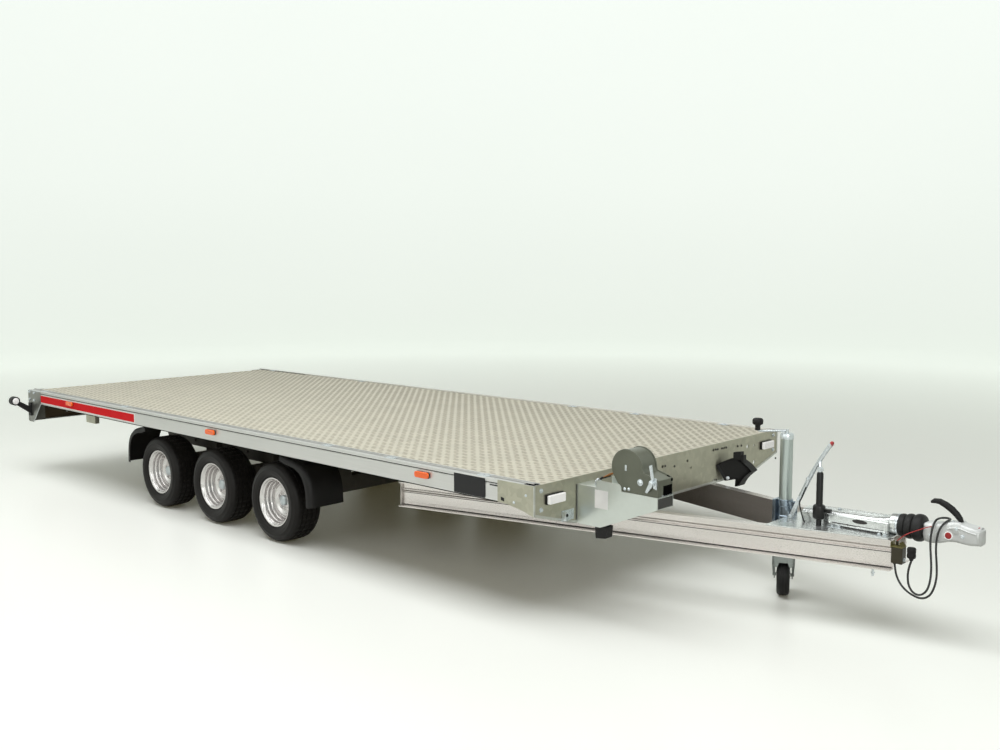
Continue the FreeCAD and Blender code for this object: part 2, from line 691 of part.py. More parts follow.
jw = jockey_wheel_width / 2
jw_bore = 8.5
jw_hub = 18.0
jw_disc = 60.0
jockey_outline = [
    (jw_bore, -jw - 3), (jw_hub, -jw - 3), (jw_hub, -14), (jw_disc, -14), (jw_disc, -jw),
    (wheel_r - 8, -jw), (wheel_r, -jw + 10), (wheel_r, jw - 10), (wheel_r - 8, jw),
    (jw_disc, jw), (jw_disc, 14), (jw_hub, 14), (jw_hub, jw + 3), (jw_bore, jw + 3),
]
trail = FreeCAD.Rotation(Z_AXIS, jockey_yaw).multVec(V(jockey_trail, 0, 0))
jw_centre = V(jockey_x, jockey_y, wheel_r).add(trail)
jw_axis = FreeCAD.Rotation(Z_AXIS, jockey_yaw + 90).multVec(X_AXIS)
save("jockey_wheel", spin(jockey_outline, jw_centre, jw_axis))

crank_z = jockey_tube_top + 12
crank_way = FreeCAD.Rotation(Z_AXIS, crank_yaw).multVec(X_AXIS)
crank_across = FreeCAD.Rotation(Z_AXIS, crank_yaw + 90).multVec(X_AXIS)
crank_half = 10.0
boss = cylinder(9, 22, V(jockey_x, jockey_y, jockey_tube_top), Z_AXIS)
arm_start = V(jockey_x, jockey_y, crank_z).sub(crank_across * crank_half).sub(crank_way * 8)
arm_end = arm_start.add(crank_way * (crank_arm + 16))
arm_sheet = plate_from([
    arm_start, arm_end, arm_end.add(crank_across * 2 * crank_half),
    arm_start.add(crank_across * 2 * crank_half),
], V(0, 0, 6))
knob = cylinder(17, 62, V(jockey_x, jockey_y, crank_z + 6).add(crank_way * crank_arm), Z_AXIS)
save("jockey_crank", fuse([boss, arm_sheet, knob]))

# Overrun device.
housing_foot = frame_bottom + 3
housing_top = housing_foot + housing_height


def housing_outline(half, foot, top, corner):
    return [(-half, foot), (-half, top - corner), (corner - half, top),
            (half - corner, top), (half, top - corner), (half, foot)]


def housing_body(half, foot, top, corner, lowered):
    """A chamfered tunnel whose top follows the crown line."""
    tunnel = cross_section(housing_outline(half, foot, top, corner), housing_rear, housing_front)
    crown = [(housing_rear + along, housing_top - lowered - down) for along, down in housing_crown]
    crown += [(housing_front, housing_top - lowered), (housing_front, foot), (housing_rear, foot)]
    return tunnel.common(side_sheet(crown, -half - 1, half + 1))


housing = housing_body(housing_half, housing_foot, housing_top, housing_corner, 0)
hollow = housing_body(housing_half - housing_wall, housing_foot - 3, housing_top - housing_wall,
                      housing_corner, housing_wall)
hollow = hollow.cut(box(housing_front - 40, housing_front + 1, -housing_half, housing_half,
                        housing_foot - 4, housing_top + 1))
collar = cylinder(housing_collar_radius, housing_collar_length,
                  V(housing_front - housing_collar_length, 0, coupling_z), X_AXIS)
nose_bore = cylinder(overrun_tube_diameter / 2 + seat, 90, V(housing_front - 70, 0, coupling_z), X_AXIS)
housing = fuse([housing.cut(hollow), collar]).cut(nose_bore)
foot_rear = jockey_x + jockey_clamp_front + seat
foot_half = drawbar_web_y(foot_rear) + 40
foot_plate = plate_from([
    V(foot_rear, -foot_half, frame_bottom), V(housing_front, -drawbar_nose_y, frame_bottom),
    V(housing_front, drawbar_nose_y, frame_bottom), V(foot_rear, foot_half, frame_bottom),
], V(0, 0, foot_plate_thickness))
save("overrun_housing", fuse([housing, foot_plate]))

tube_r = overrun_tube_diameter / 2
tube_back = housing_front - 60
overrun_tube = cylinder(tube_r, overrun_tube_length, V(tube_back, 0, coupling_z), X_AXIS)
overrun_bore = cylinder(tube_r - overrun_tube_wall, overrun_tube_length + 2,
                        V(tube_back - 1, 0, coupling_z), X_AXIS)
save("overrun_tube", overrun_tube.cut(overrun_bore))
pitch = bellows_length / bellows_folds
bellows_outline = [(tube_r + seat, 0)]
for n in range(bellows_folds):
    bellows_outline += [(bellows_radius - 16, n * pitch + 1), (bellows_radius, (n + 0.5) * pitch)]
bellows_outline += [(bellows_radius - 6, bellows_length), (tube_r + seat, bellows_length)]
save("bellows", spin(bellows_outline, V(housing_front + seat, 0, coupling_z), X_AXIS))

# Coupling head: flat-sided sections with cut corners, joined along its length.
head_x = housing_front + bellows_length + 2


def head_section(along, half, foot, top):
    low = coupling_z + foot
    high = coupling_z + top
    cut = coupling_corner
    corners = [(-half, low + cut), (cut - half, low), (half - cut, low), (half, low + cut),
               (half, high - cut), (half - cut, high), (cut - half, high), (-half, high - cut),
               (-half, low + cut)]
    return Part.makePolygon([V(head_x + along, y, z) for y, z in corners])


head = Part.makeLoft([head_section(*section) for section in coupling_sections], True, True)
head = head.cut(cylinder(ball_diameter / 2 + 1, 46, V(ball_x, 0, coupling_z - 35), Z_AXIS))
head = head.cut(cylinder(tube_r + seat, 40, V(head_x - 5, 0, coupling_z), X_AXIS))
save("coupling_head", head)
handle = side_sheet([(ball_x - back, coupling_z + up) for back, up in handle_curve],
                    -handle_half, handle_half)
save("coupling_handle", handle)

lever_y = -housing_half - 6 - seat
lever_z = frame_bottom + foot_plate_thickness + seat
plate_outline = [(housing_rear + along, lever_z + up) for along, up in lever_plate_curve]
lever_plates = [side_sheet(plate_outline, lever_y - 6, lever_y - 6 + lever_plate),
                side_sheet(plate_outline, lever_y + 6 - lever_plate, lever_y + 6)]
bar_points = [V(housing_rear + along, lever_y, lever_z + up) for along, up in lever_bar_line]
bar = []
for start, end in zip(bar_points, bar_points[1:]):
    run = end.sub(start)
    bar.append(cylinder(lever_bar_diameter / 2, run.Length, start, run))
    bar.append(Part.makeSphere(lever_bar_diameter / 2, end))
save("brake_lever", fuse(lever_plates + bar))
strut_y = lever_y - 28 - seat
strut_x = housing_rear + 103
strut = spin([(r, share * strut_length) for r, share in strut_outline],
             V(strut_x, strut_y, lever_z), Z_AXIS)
save("gas_strut", strut)

# Cable box, parked plug and cables.
cable_box = box(drawbar_front + side_gap, drawbar_front + 55, -drawbar_nose_y, -62,
                cable_box_foot, cable_box_foot + 98)
save("cable_box", cable_box)


def cord(points, diameter):
    """Sweep a round cord along straight runs with one tangent arc at each point."""
    points = [V(*p) for p in points]
    runs = [b.sub(a) for a, b in zip(points, points[1:])]
    edges = []
    start = points[0]
    for corner, before, after in zip(points[1:-1], runs, runs[1:]):
        turn = before.getAngle(after)
        reach = 0.45 * min(before.Length, after.Length)
        radius = reach / math.tan(turn / 2)
        into = V(before).normalize()
        out = V(after).normalize()
        arc_start = corner.sub(into * reach)
        arc_end = corner.add(out * reach)
        towards = V(out.sub(into)).normalize()
        arc_middle = corner.add(towards * (radius / math.cos(turn / 2) - radius))
        edges.append(Part.makeLine(start, arc_start))
        edges.append(Part.Arc(arc_start, arc_middle, arc_end).toShape())
        start = arc_end
        print("cord radius", round(radius, 1), "run", round(before.Length, 1))
    edges.append(Part.makeLine(start, points[-1]))
    path = Part.Wire(edges)
    ring = Part.Wire(Part.makeCircle(diameter / 2, points[0], runs[0]))
    tube = path.makePipeShell([ring], True, False)
    print("cord length", round(path.Length), "volume ratio",
          round(tube.Volume / (path.Length * math.pi * diameter ** 2 / 4), 4))
    return tube


tow_route = [
    (1200, -84, 319.2), (1204, -85, 290), (1217, -88, 255), (1244, -91, 222), (1283, -92, 200),
    (1324, -91, 192), (1356, -86, 210), (1371, -78, 250), (1376, -71, 295), (1371, -64, 345),
    (1363, -58, 395), (1361, -54, 440), (1366, -52, 480), (1379, -48, 512), (1391, -30, 528),
    (1395, -4, 530), (1390, 20, 529), (1372, 33, 528), (1354, 22, 528), (1349, -4, 529),
    (1347, -30, 527), (1344, -50, 508), (1340, -58, 472), (1340, -64, 430), (1348, -72, 380),
    (1356, -82, 330), (1358, -92, 280), (1350, -102, 235), (1324, -108, 210), (1292, -109, 216),
    (1270, -105, 246), (1264, -100, 290), (1268, -95, 325), (1274, -92, 346.7),
]
save("tow_cable", cord(tow_route, cable_diameter))
tow_plug = cylinder(tow_plug_radius, tow_plug_length, V(*tow_route[-1]) + V(0, 0, 1.3), Z_AXIS)
save("tow_plug", tow_plug)
breakaway_route = [
    (1204, -74, 419.4), (1222, -74, 447), (1250, -70, 468), (1290, -62, 486), (1322, -48, 496),
    (1334, -40.3, 498),
]
save("breakaway_cable", cord(breakaway_route, breakaway_diameter))
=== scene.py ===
"""Looks of the three-axle car hauler: camera, cords, materials and fine detail.

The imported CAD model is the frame. Sizes below are millimetres, measured as in
the CAD source: x from the front face of the deck (forward is positive), y to
the trailer's left, z up from the ground. place() turns them into the frame's
metres. Materials are made of nodes; nothing is read from disk but the frame.
"""
import math

import bmesh
import bpy
from mathutils import Matrix, Vector


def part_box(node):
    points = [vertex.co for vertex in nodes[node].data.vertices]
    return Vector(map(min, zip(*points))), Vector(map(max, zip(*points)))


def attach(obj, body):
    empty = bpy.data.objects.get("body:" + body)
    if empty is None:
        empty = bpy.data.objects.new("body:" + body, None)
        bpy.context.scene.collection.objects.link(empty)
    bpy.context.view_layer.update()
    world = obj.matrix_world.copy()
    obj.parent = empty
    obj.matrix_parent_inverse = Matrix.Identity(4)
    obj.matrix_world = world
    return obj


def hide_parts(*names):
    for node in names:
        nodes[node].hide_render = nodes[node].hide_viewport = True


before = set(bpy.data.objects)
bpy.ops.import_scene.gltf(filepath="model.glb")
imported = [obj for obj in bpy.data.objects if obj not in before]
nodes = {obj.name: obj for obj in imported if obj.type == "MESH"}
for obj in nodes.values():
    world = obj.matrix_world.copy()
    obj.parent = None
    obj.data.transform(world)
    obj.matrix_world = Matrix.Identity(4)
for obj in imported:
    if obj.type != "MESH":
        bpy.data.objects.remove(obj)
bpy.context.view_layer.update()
MM = 0.001
deck_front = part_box("winch_stand")[0].x - 0.0003


def place(x, y, z):
    """A point given in millimetres from the deck's front face, in the frame's metres."""
    return Vector((deck_front + x * MM, y * MM, z * MM))


# Camera, fitted to the deck's corners and the wheels' circles in the photograph.
camera_place = (4.88542, -4.48111, 1.61956)
camera_yaw = math.radians(133.306)
camera_down = math.radians(6.159)
camera_roll = math.radians(-0.109)
camera_lens = 38.078

forward = Vector((math.cos(camera_down) * math.cos(camera_yaw),
                  math.cos(camera_down) * math.sin(camera_yaw), -math.sin(camera_down)))
level = Vector((math.sin(camera_yaw), -math.cos(camera_yaw), 0))
upward = level.cross(forward)
right = math.cos(camera_roll) * level + math.sin(camera_roll) * upward
upward = math.cos(camera_roll) * upward - math.sin(camera_roll) * level
camera = bpy.data.objects.new("camera", bpy.data.cameras.new("camera"))
camera.data.sensor_width = 36
camera.data.lens = camera_lens
camera.data.clip_end = 200
camera.matrix_world = Matrix((
    (right.x, upward.x, -forward.x, camera_place[0]),
    (right.y, upward.y, -forward.y, camera_place[1]),
    (right.z, upward.z, -forward.z, camera_place[2]),
    (0, 0, 0, 1)))
bpy.context.scene.collection.objects.link(camera)
bpy.context.scene.camera = camera


# Materials.
class Nodes:
    """A short way to build one material's node tree."""

    def __init__(self, name):
        self.material = bpy.data.materials.new(name)
        self.material.use_nodes = True
        self.tree = self.material.node_tree
        self.tree.nodes.clear()
        self.coords = self.add("ShaderNodeTexCoord").outputs["Object"]

    def add(self, kind, **settings):
        node = self.tree.nodes.new(kind)
        for key, value in settings.items():
            setattr(node, key, value)
        return node

    def link(self, source, socket):
        self.tree.links.new(source, socket)

    def noise(self, scale, detail=3.0, roughness=0.55, stretch=(1, 1, 1)):
        mapping = self.add("ShaderNodeMapping")
        mapping.inputs["Scale"].default_value = stretch
        self.link(self.coords, mapping.inputs["Vector"])
        noise = self.add("ShaderNodeTexNoise")
        noise.inputs["Scale"].default_value = scale
        noise.inputs["Detail"].default_value = detail
        noise.inputs["Roughness"].default_value = roughness
        self.link(mapping.outputs["Vector"], noise.inputs["Vector"])
        return noise.outputs["Fac"]

    def cells(self, scale):
        cells = self.add("ShaderNodeTexVoronoi")
        cells.inputs["Scale"].default_value = scale
        self.link(self.coords, cells.inputs["Vector"])
        split = self.add("ShaderNodeSeparateColor")
        self.link(cells.outputs["Color"], split.inputs["Color"])
        return split.outputs["Red"]

    def ramp(self, source, low, high, start=0.3, end=0.7):
        ramp = self.add("ShaderNodeValToRGB")
        ramp.color_ramp.elements[0].position = start
        ramp.color_ramp.elements[1].position = end
        ramp.color_ramp.elements[0].color = (*low, 1)
        ramp.color_ramp.elements[1].color = (*high, 1)
        self.link(source, ramp.inputs["Fac"])
        return ramp.outputs["Color"]

    def mix(self, factor, first, second):
        mix = self.add("ShaderNodeMix", data_type="RGBA")
        mix.inputs[0].default_value = factor
        self.link(first, mix.inputs[6])
        self.link(second, mix.inputs[7])
        return mix.outputs[2]

    def span(self, source, low, high):
        span = self.add("ShaderNodeMapRange")
        span.inputs["To Min"].default_value = low
        span.inputs["To Max"].default_value = high
        self.link(source, span.inputs["Value"])
        return span.outputs["Result"]

    def bump(self, source, strength, distance):
        bump = self.add("ShaderNodeBump")
        bump.inputs["Strength"].default_value = strength
        bump.inputs["Distance"].default_value = distance
        self.link(source, bump.inputs["Height"])
        return bump.outputs["Normal"]

    def surface(self, colour, roughness, normal, **fixed):
        shader = self.add("ShaderNodeBsdfPrincipled")
        self.link(colour, shader.inputs["Base Color"])
        self.link(roughness, shader.inputs["Roughness"])
        self.link(normal, shader.inputs["Normal"])
        for key, value in fixed.items():
            shader.inputs[key.replace("_", " ")].default_value = value
        output = self.add("ShaderNodeOutputMaterial")
        self.link(shader.outputs["BSDF"], output.inputs["Surface"])
        return self.material


def shade(colour, factor):
    """The same colour, lighter or darker."""
    return tuple(min(1.0, channel * factor) for channel in colour)


def sheet_metal(name, colour, metallic=0.75, roughness=(0.34, 0.5), spangle=60.0, depth=0.16):
    """Galvanised sheet: zinc spangles, faint streaks and a slightly uneven face."""
    m = Nodes(name)
    spangles = m.ramp(m.cells(spangle), shade(colour, 1 - depth), shade(colour, 1 + depth), 0, 1)
    clouds = m.ramp(m.noise(5.0), shade(colour, 0.93), shade(colour, 1.05))
    tone = m.mix(0.55, spangles, clouds)
    rough = m.span(m.noise(22.0), *roughness)
    return m.surface(tone, rough, m.bump(m.noise(9.0), 0.12, 0.004), Metallic=metallic)


def drawn_metal(name, colour, metallic=0.8, roughness=(0.28, 0.42), stretch=(0.4, 60, 60)):
    """Rolled or extruded metal: fine lines along its length."""
    m = Nodes(name)
    lines = m.noise(14.0, 4.0, 0.6, stretch)
    tone = m.ramp(lines, shade(colour, 0.9), shade(colour, 1.06))
    clouds = m.ramp(m.noise(3.0), shade(colour, 0.95), shade(colour, 1.04))
    return m.surface(m.mix(0.4, tone, clouds), m.span(lines, *roughness),
                     m.bump(lines, 0.06, 0.001), Metallic=metallic)


def painted(name, colour, roughness=(0.3, 0.45), metallic=0.0, grain=220.0, strength=0.1, coat=0.0,
            ior=1.5):
    """Paint, plastic or rubber: a fine grain with dust that dulls it in places."""
    m = Nodes(name)
    dust = m.noise(7.0)
    tone = m.ramp(dust, shade(colour, 0.88), tuple(c * 1.1 + 0.004 for c in colour))
    return m.surface(tone, m.span(dust, *roughness), m.bump(m.noise(grain), strength, 0.001),
                     Metallic=metallic, Coat_Weight=coat, IOR=ior)


def lens(name, colour, roughness=0.14, ribs=260.0, coat=0.3, glow=0.25):
    """A coloured lens with fine prisms moulded behind its face, and a painted glow that brightens it though
    no lamp is lit.
    """
    m = Nodes(name)
    wave = m.add("ShaderNodeTexWave", bands_direction="DIAGONAL")
    wave.inputs["Scale"].default_value = ribs
    m.link(m.coords, wave.inputs["Vector"])
    tone = m.ramp(wave.outputs["Fac"], shade(colour, 0.72), shade(colour, 1.15), 0, 1)
    return m.surface(tone, m.span(m.noise(30.0), roughness, roughness + 0.08),
                     m.bump(wave.outputs["Fac"], 0.15, 0.001), Coat_Weight=coat,
                     Emission_Color=(*colour, 1), Emission_Strength=glow)


def streaked_metal(name, light, dark):
    """Rolled profile with long pale and dark streaks: painted reflections of the room, as a shiny beam
    shows it.
    """
    m = Nodes(name)
    reflection_streaks = m.ramp(m.noise(1.0, 3.0, 0.5, (0.5, 2, 8)), dark, light, 0.3, 0.66)
    lines = m.noise(14.0, 4.0, 0.6, (0.4, 60, 60))
    fine = m.ramp(lines, shade(light, 0.9), light)
    return m.surface(m.mix(0.45, reflection_streaks, fine), m.span(lines, 0.2, 0.36),
                     m.bump(lines, 0.06, 0.001), Metallic=0.8)


# Finishes. Each pair of numbers is the range of the roughness.
galvanised = sheet_metal("galvanised", (0.58, 0.59, 0.55))
stand_zinc = sheet_metal("stand_galvanised", (0.60, 0.64, 0.60), 0.7, (0.26, 0.34), 70.0, 0.02)
# Rear gussets: the galvanised sheet darkened as painted shade.
gusset_shade_zinc = sheet_metal("gusset_painted_shade", (0.26, 0.26, 0.24), 0.7, (0.25, 0.4), 60.0, 0.12)
panel_zinc = sheet_metal("panel_galvanised", (0.44, 0.43, 0.34), spangle=38.0, depth=0.16)
# Drawbar beams: the pale and dark streaks are painted reflections.
beam_reflection_zinc = streaked_metal("beam_galvanised_painted_reflections", (0.76, 0.72, 0.69), (0.48, 0.45, 0.43))
# Inner faces of the beams: dark streaks as painted shade.
beam_painted_shade = streaked_metal("beam_inner_side", (0.26, 0.235, 0.22), (0.15, 0.13, 0.12))
rail_metal = drawn_metal("rail_aluminium", (0.65, 0.65, 0.63), 0.75, (0.3, 0.42))
plate_metal = sheet_metal("tread_plate", (0.68, 0.64, 0.53), 0.6, (0.4, 0.55), 16.0, 0.05)
# Tread bars: the plate's metal, darker, as painted shade on the bars.
bar_shade_metal = sheet_metal("tread_bars", (0.53, 0.495, 0.405), 0.6, (0.42, 0.55), 16.0, 0.05)
# Near black: painted shade on the galvanised side beams, axle and axle carriers under the deck.
underframe = sheet_metal("underframe", (0.075, 0.07, 0.058), 0.5, (0.5, 0.7), 30.0, 0.2)
zinc = drawn_metal("zinc_plated", (0.60, 0.64, 0.66), 0.85, (0.2, 0.36), (30, 30, 3))
tube_zinc = drawn_metal("tube_zinc", (0.44, 0.49, 0.47), 0.85, (0.26, 0.36), (12, 12, 1.2))
cast = painted("cast_grey", (0.74, 0.76, 0.75), (0.35, 0.55), 0.25, 90.0, 0.4)
rim_paint = painted("rim_silver", (0.62, 0.60, 0.59), (0.2, 0.32), 0.8, 300.0, 0.05)
tyre_rubber = painted("tyre_rubber", (0.012, 0.0105, 0.0095), (0.38, 0.55), 0.0, 160.0, 0.2, ior=1.27)
black_plastic = painted("black_plastic", (0.010, 0.0093, 0.009), (0.36, 0.52), 0.0, 200.0, 0.25, ior=1.3)
black_paint = painted("black_paint", (0.009, 0.009, 0.0085), (0.28, 0.42), ior=1.36)
soft_rubber = painted("soft_rubber", (0.012, 0.0118, 0.0115), (0.42, 0.6), ior=1.35)
# Flat black: painted shade in the rail grooves and the winch's opening, and the rails' black end caps.
shade_and_cap_black = painted("shade_and_cap_black", (0.002, 0.002, 0.002), (0.8, 1.0), ior=1.05)
sign_black = painted("sign_black", (0.012, 0.012, 0.013), (0.3, 0.45), ior=1.35)
label_white = painted("label_white", (0.92, 0.92, 0.90), (0.4, 0.55))
# Dark brown: painted shade on the light board's inside.
painted_shade_brown = painted("painted_shade_brown", (0.12, 0.085, 0.05), (0.35, 0.55), 0.3)
# Dark grey: painted shadow in the winch stand's opening.
painted_shadow_grey = painted("painted_shadow_grey", (0.055, 0.055, 0.05), (0.45, 0.6))
# Dark zinc: panel bolts darkened as painted shade.
painted_shade_zinc = painted("painted_shade_zinc", (0.10, 0.10, 0.09), (0.3, 0.5), 0.6)
fork_zinc = painted("fork_zinc", (0.24, 0.26, 0.25), (0.2, 0.34), 0.85)
clamp_zinc = painted("clamp_zinc", (0.30, 0.36, 0.42), (0.18, 0.3), 0.85)
winch_green = painted("winch_green", (0.135, 0.145, 0.105), (0.34, 0.46), 0.2, 260.0, 0.08, 0.2)
cable_sheath = painted("cable_sheath", (0.012, 0.012, 0.012), (0.35, 0.5))
red_sheath = painted("red_sheath", (0.42, 0.02, 0.02), (0.3, 0.45))
# Lenses and the reflective films below carry a glow: painted light, not a lit lamp.
amber_lens = lens("amber_lens", (0.93, 0.13, 0.008), 0.22)
white_lens = lens("white_lens", (0.90, 0.90, 0.87), glow=0.3)
red_lens = lens("red_lens", (0.50, 0.012, 0.016))
red_film = lens("red_reflective_film", (0.66, 0.001, 0.005), 0.7, 420.0, 0.0, 0.2)
white_film = lens("white_edging", (0.75, 0.74, 0.70), 0.3, 500.0)
cap_zinc = painted("hub_cap_zinc", (0.55, 0.60, 0.62), (0.3, 0.42), 0.6, 200.0, 0.08)
# Dark cast iron for the brake drums; the same material draws the painted shade strips on the beams and the
# painted shade marks on the overrun cover.
dark_cast_and_shade = painted("brake_drum", (0.045, 0.042, 0.04), (0.5, 0.7), 0.3, 120.0, 0.2)
housing_zinc = sheet_metal("housing_galvanised", (0.64, 0.66, 0.65), 0.85, (0.2, 0.34), 70.0, 0.12)
olive_zinc = painted("olive_zinc", (0.17, 0.15, 0.05), (0.3, 0.5), 0.5)
olive_black = painted("olive_black", (0.035, 0.03, 0.014), (0.35, 0.5), ior=1.4)
orange_strap = painted("orange_strap", (0.55, 0.20, 0.04), (0.7, 0.85), 0.0, 900.0, 0.4)

node_finish = {
    "axle": underframe, "bellows": soft_rubber, "brake_lever": zinc, "breakaway_cable": red_sheath,
    "cable_box": black_plastic, "coupling_handle": black_paint, "coupling_head": cast,
    "cross_members": galvanised, "deck_plate": plate_metal, "drawbar_beams": beam_reflection_zinc,
    "front_lamps": white_lens, "front_panel": panel_zinc, "gas_strut": black_paint,
    "jockey_clamp": zinc, "jockey_crank": zinc, "jockey_fork": zinc, "jockey_leg": zinc,
    "jockey_tube": tube_zinc, "jockey_wheel": soft_rubber, "light_board": galvanised,
    "mudguards": black_plastic, "outline_lamps": soft_rubber, "overrun_housing": galvanised,
    "overrun_tube": zinc, "rear_gussets": gusset_shade_zinc, "rear_lamps": red_lens, "rim": rim_paint,
    "side_beams": underframe, "side_lamps": amber_lens, "side_rails": rail_metal,
    "tow_cable": cable_sheath, "tow_plug": black_plastic, "tyre": tyre_rubber,
    "wheel_chock": black_plastic, "winch_body": winch_green, "winch_stand": stand_zinc,
    "rail_blocks": panel_zinc,
}
for name, node in nodes.items():
    finish = node_finish.get(name) or node_finish[name.split("_")[0]]
    node.data.materials.clear()
    node.data.materials.append(finish)


# Cords: the route points are those of the CAD source, in metres.
def cord_curve(name, points, diameter, material):
    """A round cord on a smooth curve."""
    curve = bpy.data.curves.new(name, "CURVE")
    curve.dimensions = "3D"
    curve.bevel_depth = diameter / 2
    curve.bevel_resolution = 3
    curve.resolution_u = 5
    curve.use_fill_caps = True
    spline = curve.splines.new("NURBS")
    spline.points.add(len(points) - 1)
    for point, (x, y, z) in zip(spline.points, points):
        point.co = (deck_front + x, y, z, 1)
    spline.order_u = 3
    spline.use_endpoint_u = True
    curve.materials.append(material)
    piece = bpy.data.objects.new(name, curve)
    bpy.context.scene.collection.objects.link(piece)
    return piece


tow_route = [
    (1.200, -0.084, 0.3192), (1.204, -0.085, 0.290), (1.217, -0.088, 0.255),
    (1.244, -0.091, 0.222), (1.283, -0.092, 0.200), (1.324, -0.091, 0.192),
    (1.356, -0.086, 0.210), (1.371, -0.078, 0.250), (1.376, -0.071, 0.295),
    (1.371, -0.064, 0.345), (1.363, -0.058, 0.395), (1.361, -0.054, 0.440),
    (1.366, -0.052, 0.480), (1.379, -0.048, 0.512), (1.391, -0.030, 0.528),
    (1.395, -0.004, 0.530), (1.390, 0.020, 0.529), (1.372, 0.033, 0.528),
    (1.354, 0.022, 0.528), (1.349, -0.004, 0.529), (1.347, -0.030, 0.527),
    (1.344, -0.050, 0.508), (1.340, -0.058, 0.472), (1.340, -0.064, 0.430),
    (1.348, -0.072, 0.380), (1.356, -0.082, 0.330), (1.358, -0.092, 0.280),
    (1.350, -0.102, 0.235), (1.324, -0.108, 0.210), (1.292, -0.109, 0.216),
    (1.270, -0.105, 0.246), (1.264, -0.100, 0.290), (1.268, -0.095, 0.325),
    (1.274, -0.092, 0.3467),
]
breakaway_route = [
    (1.204, -0.074, 0.4194), (1.222, -0.074, 0.439), (1.250, -0.071, 0.460),
    (1.290, -0.063, 0.480), (1.322, -0.048, 0.496), (1.334, -0.0403, 0.498),
]
tow_cable = cord_curve("tow_cable_run", tow_route, 0.009, cable_sheath)
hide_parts("tow_cable")
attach(tow_cable, "frame")
breakaway = cord_curve("breakaway_run", breakaway_route, 0.004, red_sheath)
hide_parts("breakaway_cable")
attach(breakaway, "frame")


def arc(x, y, radius, degrees):
    """Points of a circle in a plane, one for each angle."""
    return [(x + radius * math.cos(math.radians(a)), y + radius * math.sin(math.radians(a)))
            for a in degrees]


def rounded(corners, radius):
    """An outline with round corners, from their centres: upper right first, then upper left."""
    return [point for (x, y), start in zip(corners, (0, 90, 180, 270))
            for point in arc(x, y, radius, range(start, start + 91, 30))]


def smooth_line(knots, steps):
    """Points of a smooth curve from the second knot to the last but one."""
    line = []
    for a, b, c, d in zip(knots, knots[1:], knots[2:], knots[3:]):
        for step in range(steps):
            t = step / steps
            line.append(0.5 * (2 * b + (c - a) * t + (2 * a - 5 * b + 4 * c - d) * t ** 2
                               + (3 * b - a - 3 * c + d) * t ** 3))
    return line + [knots[-2]]


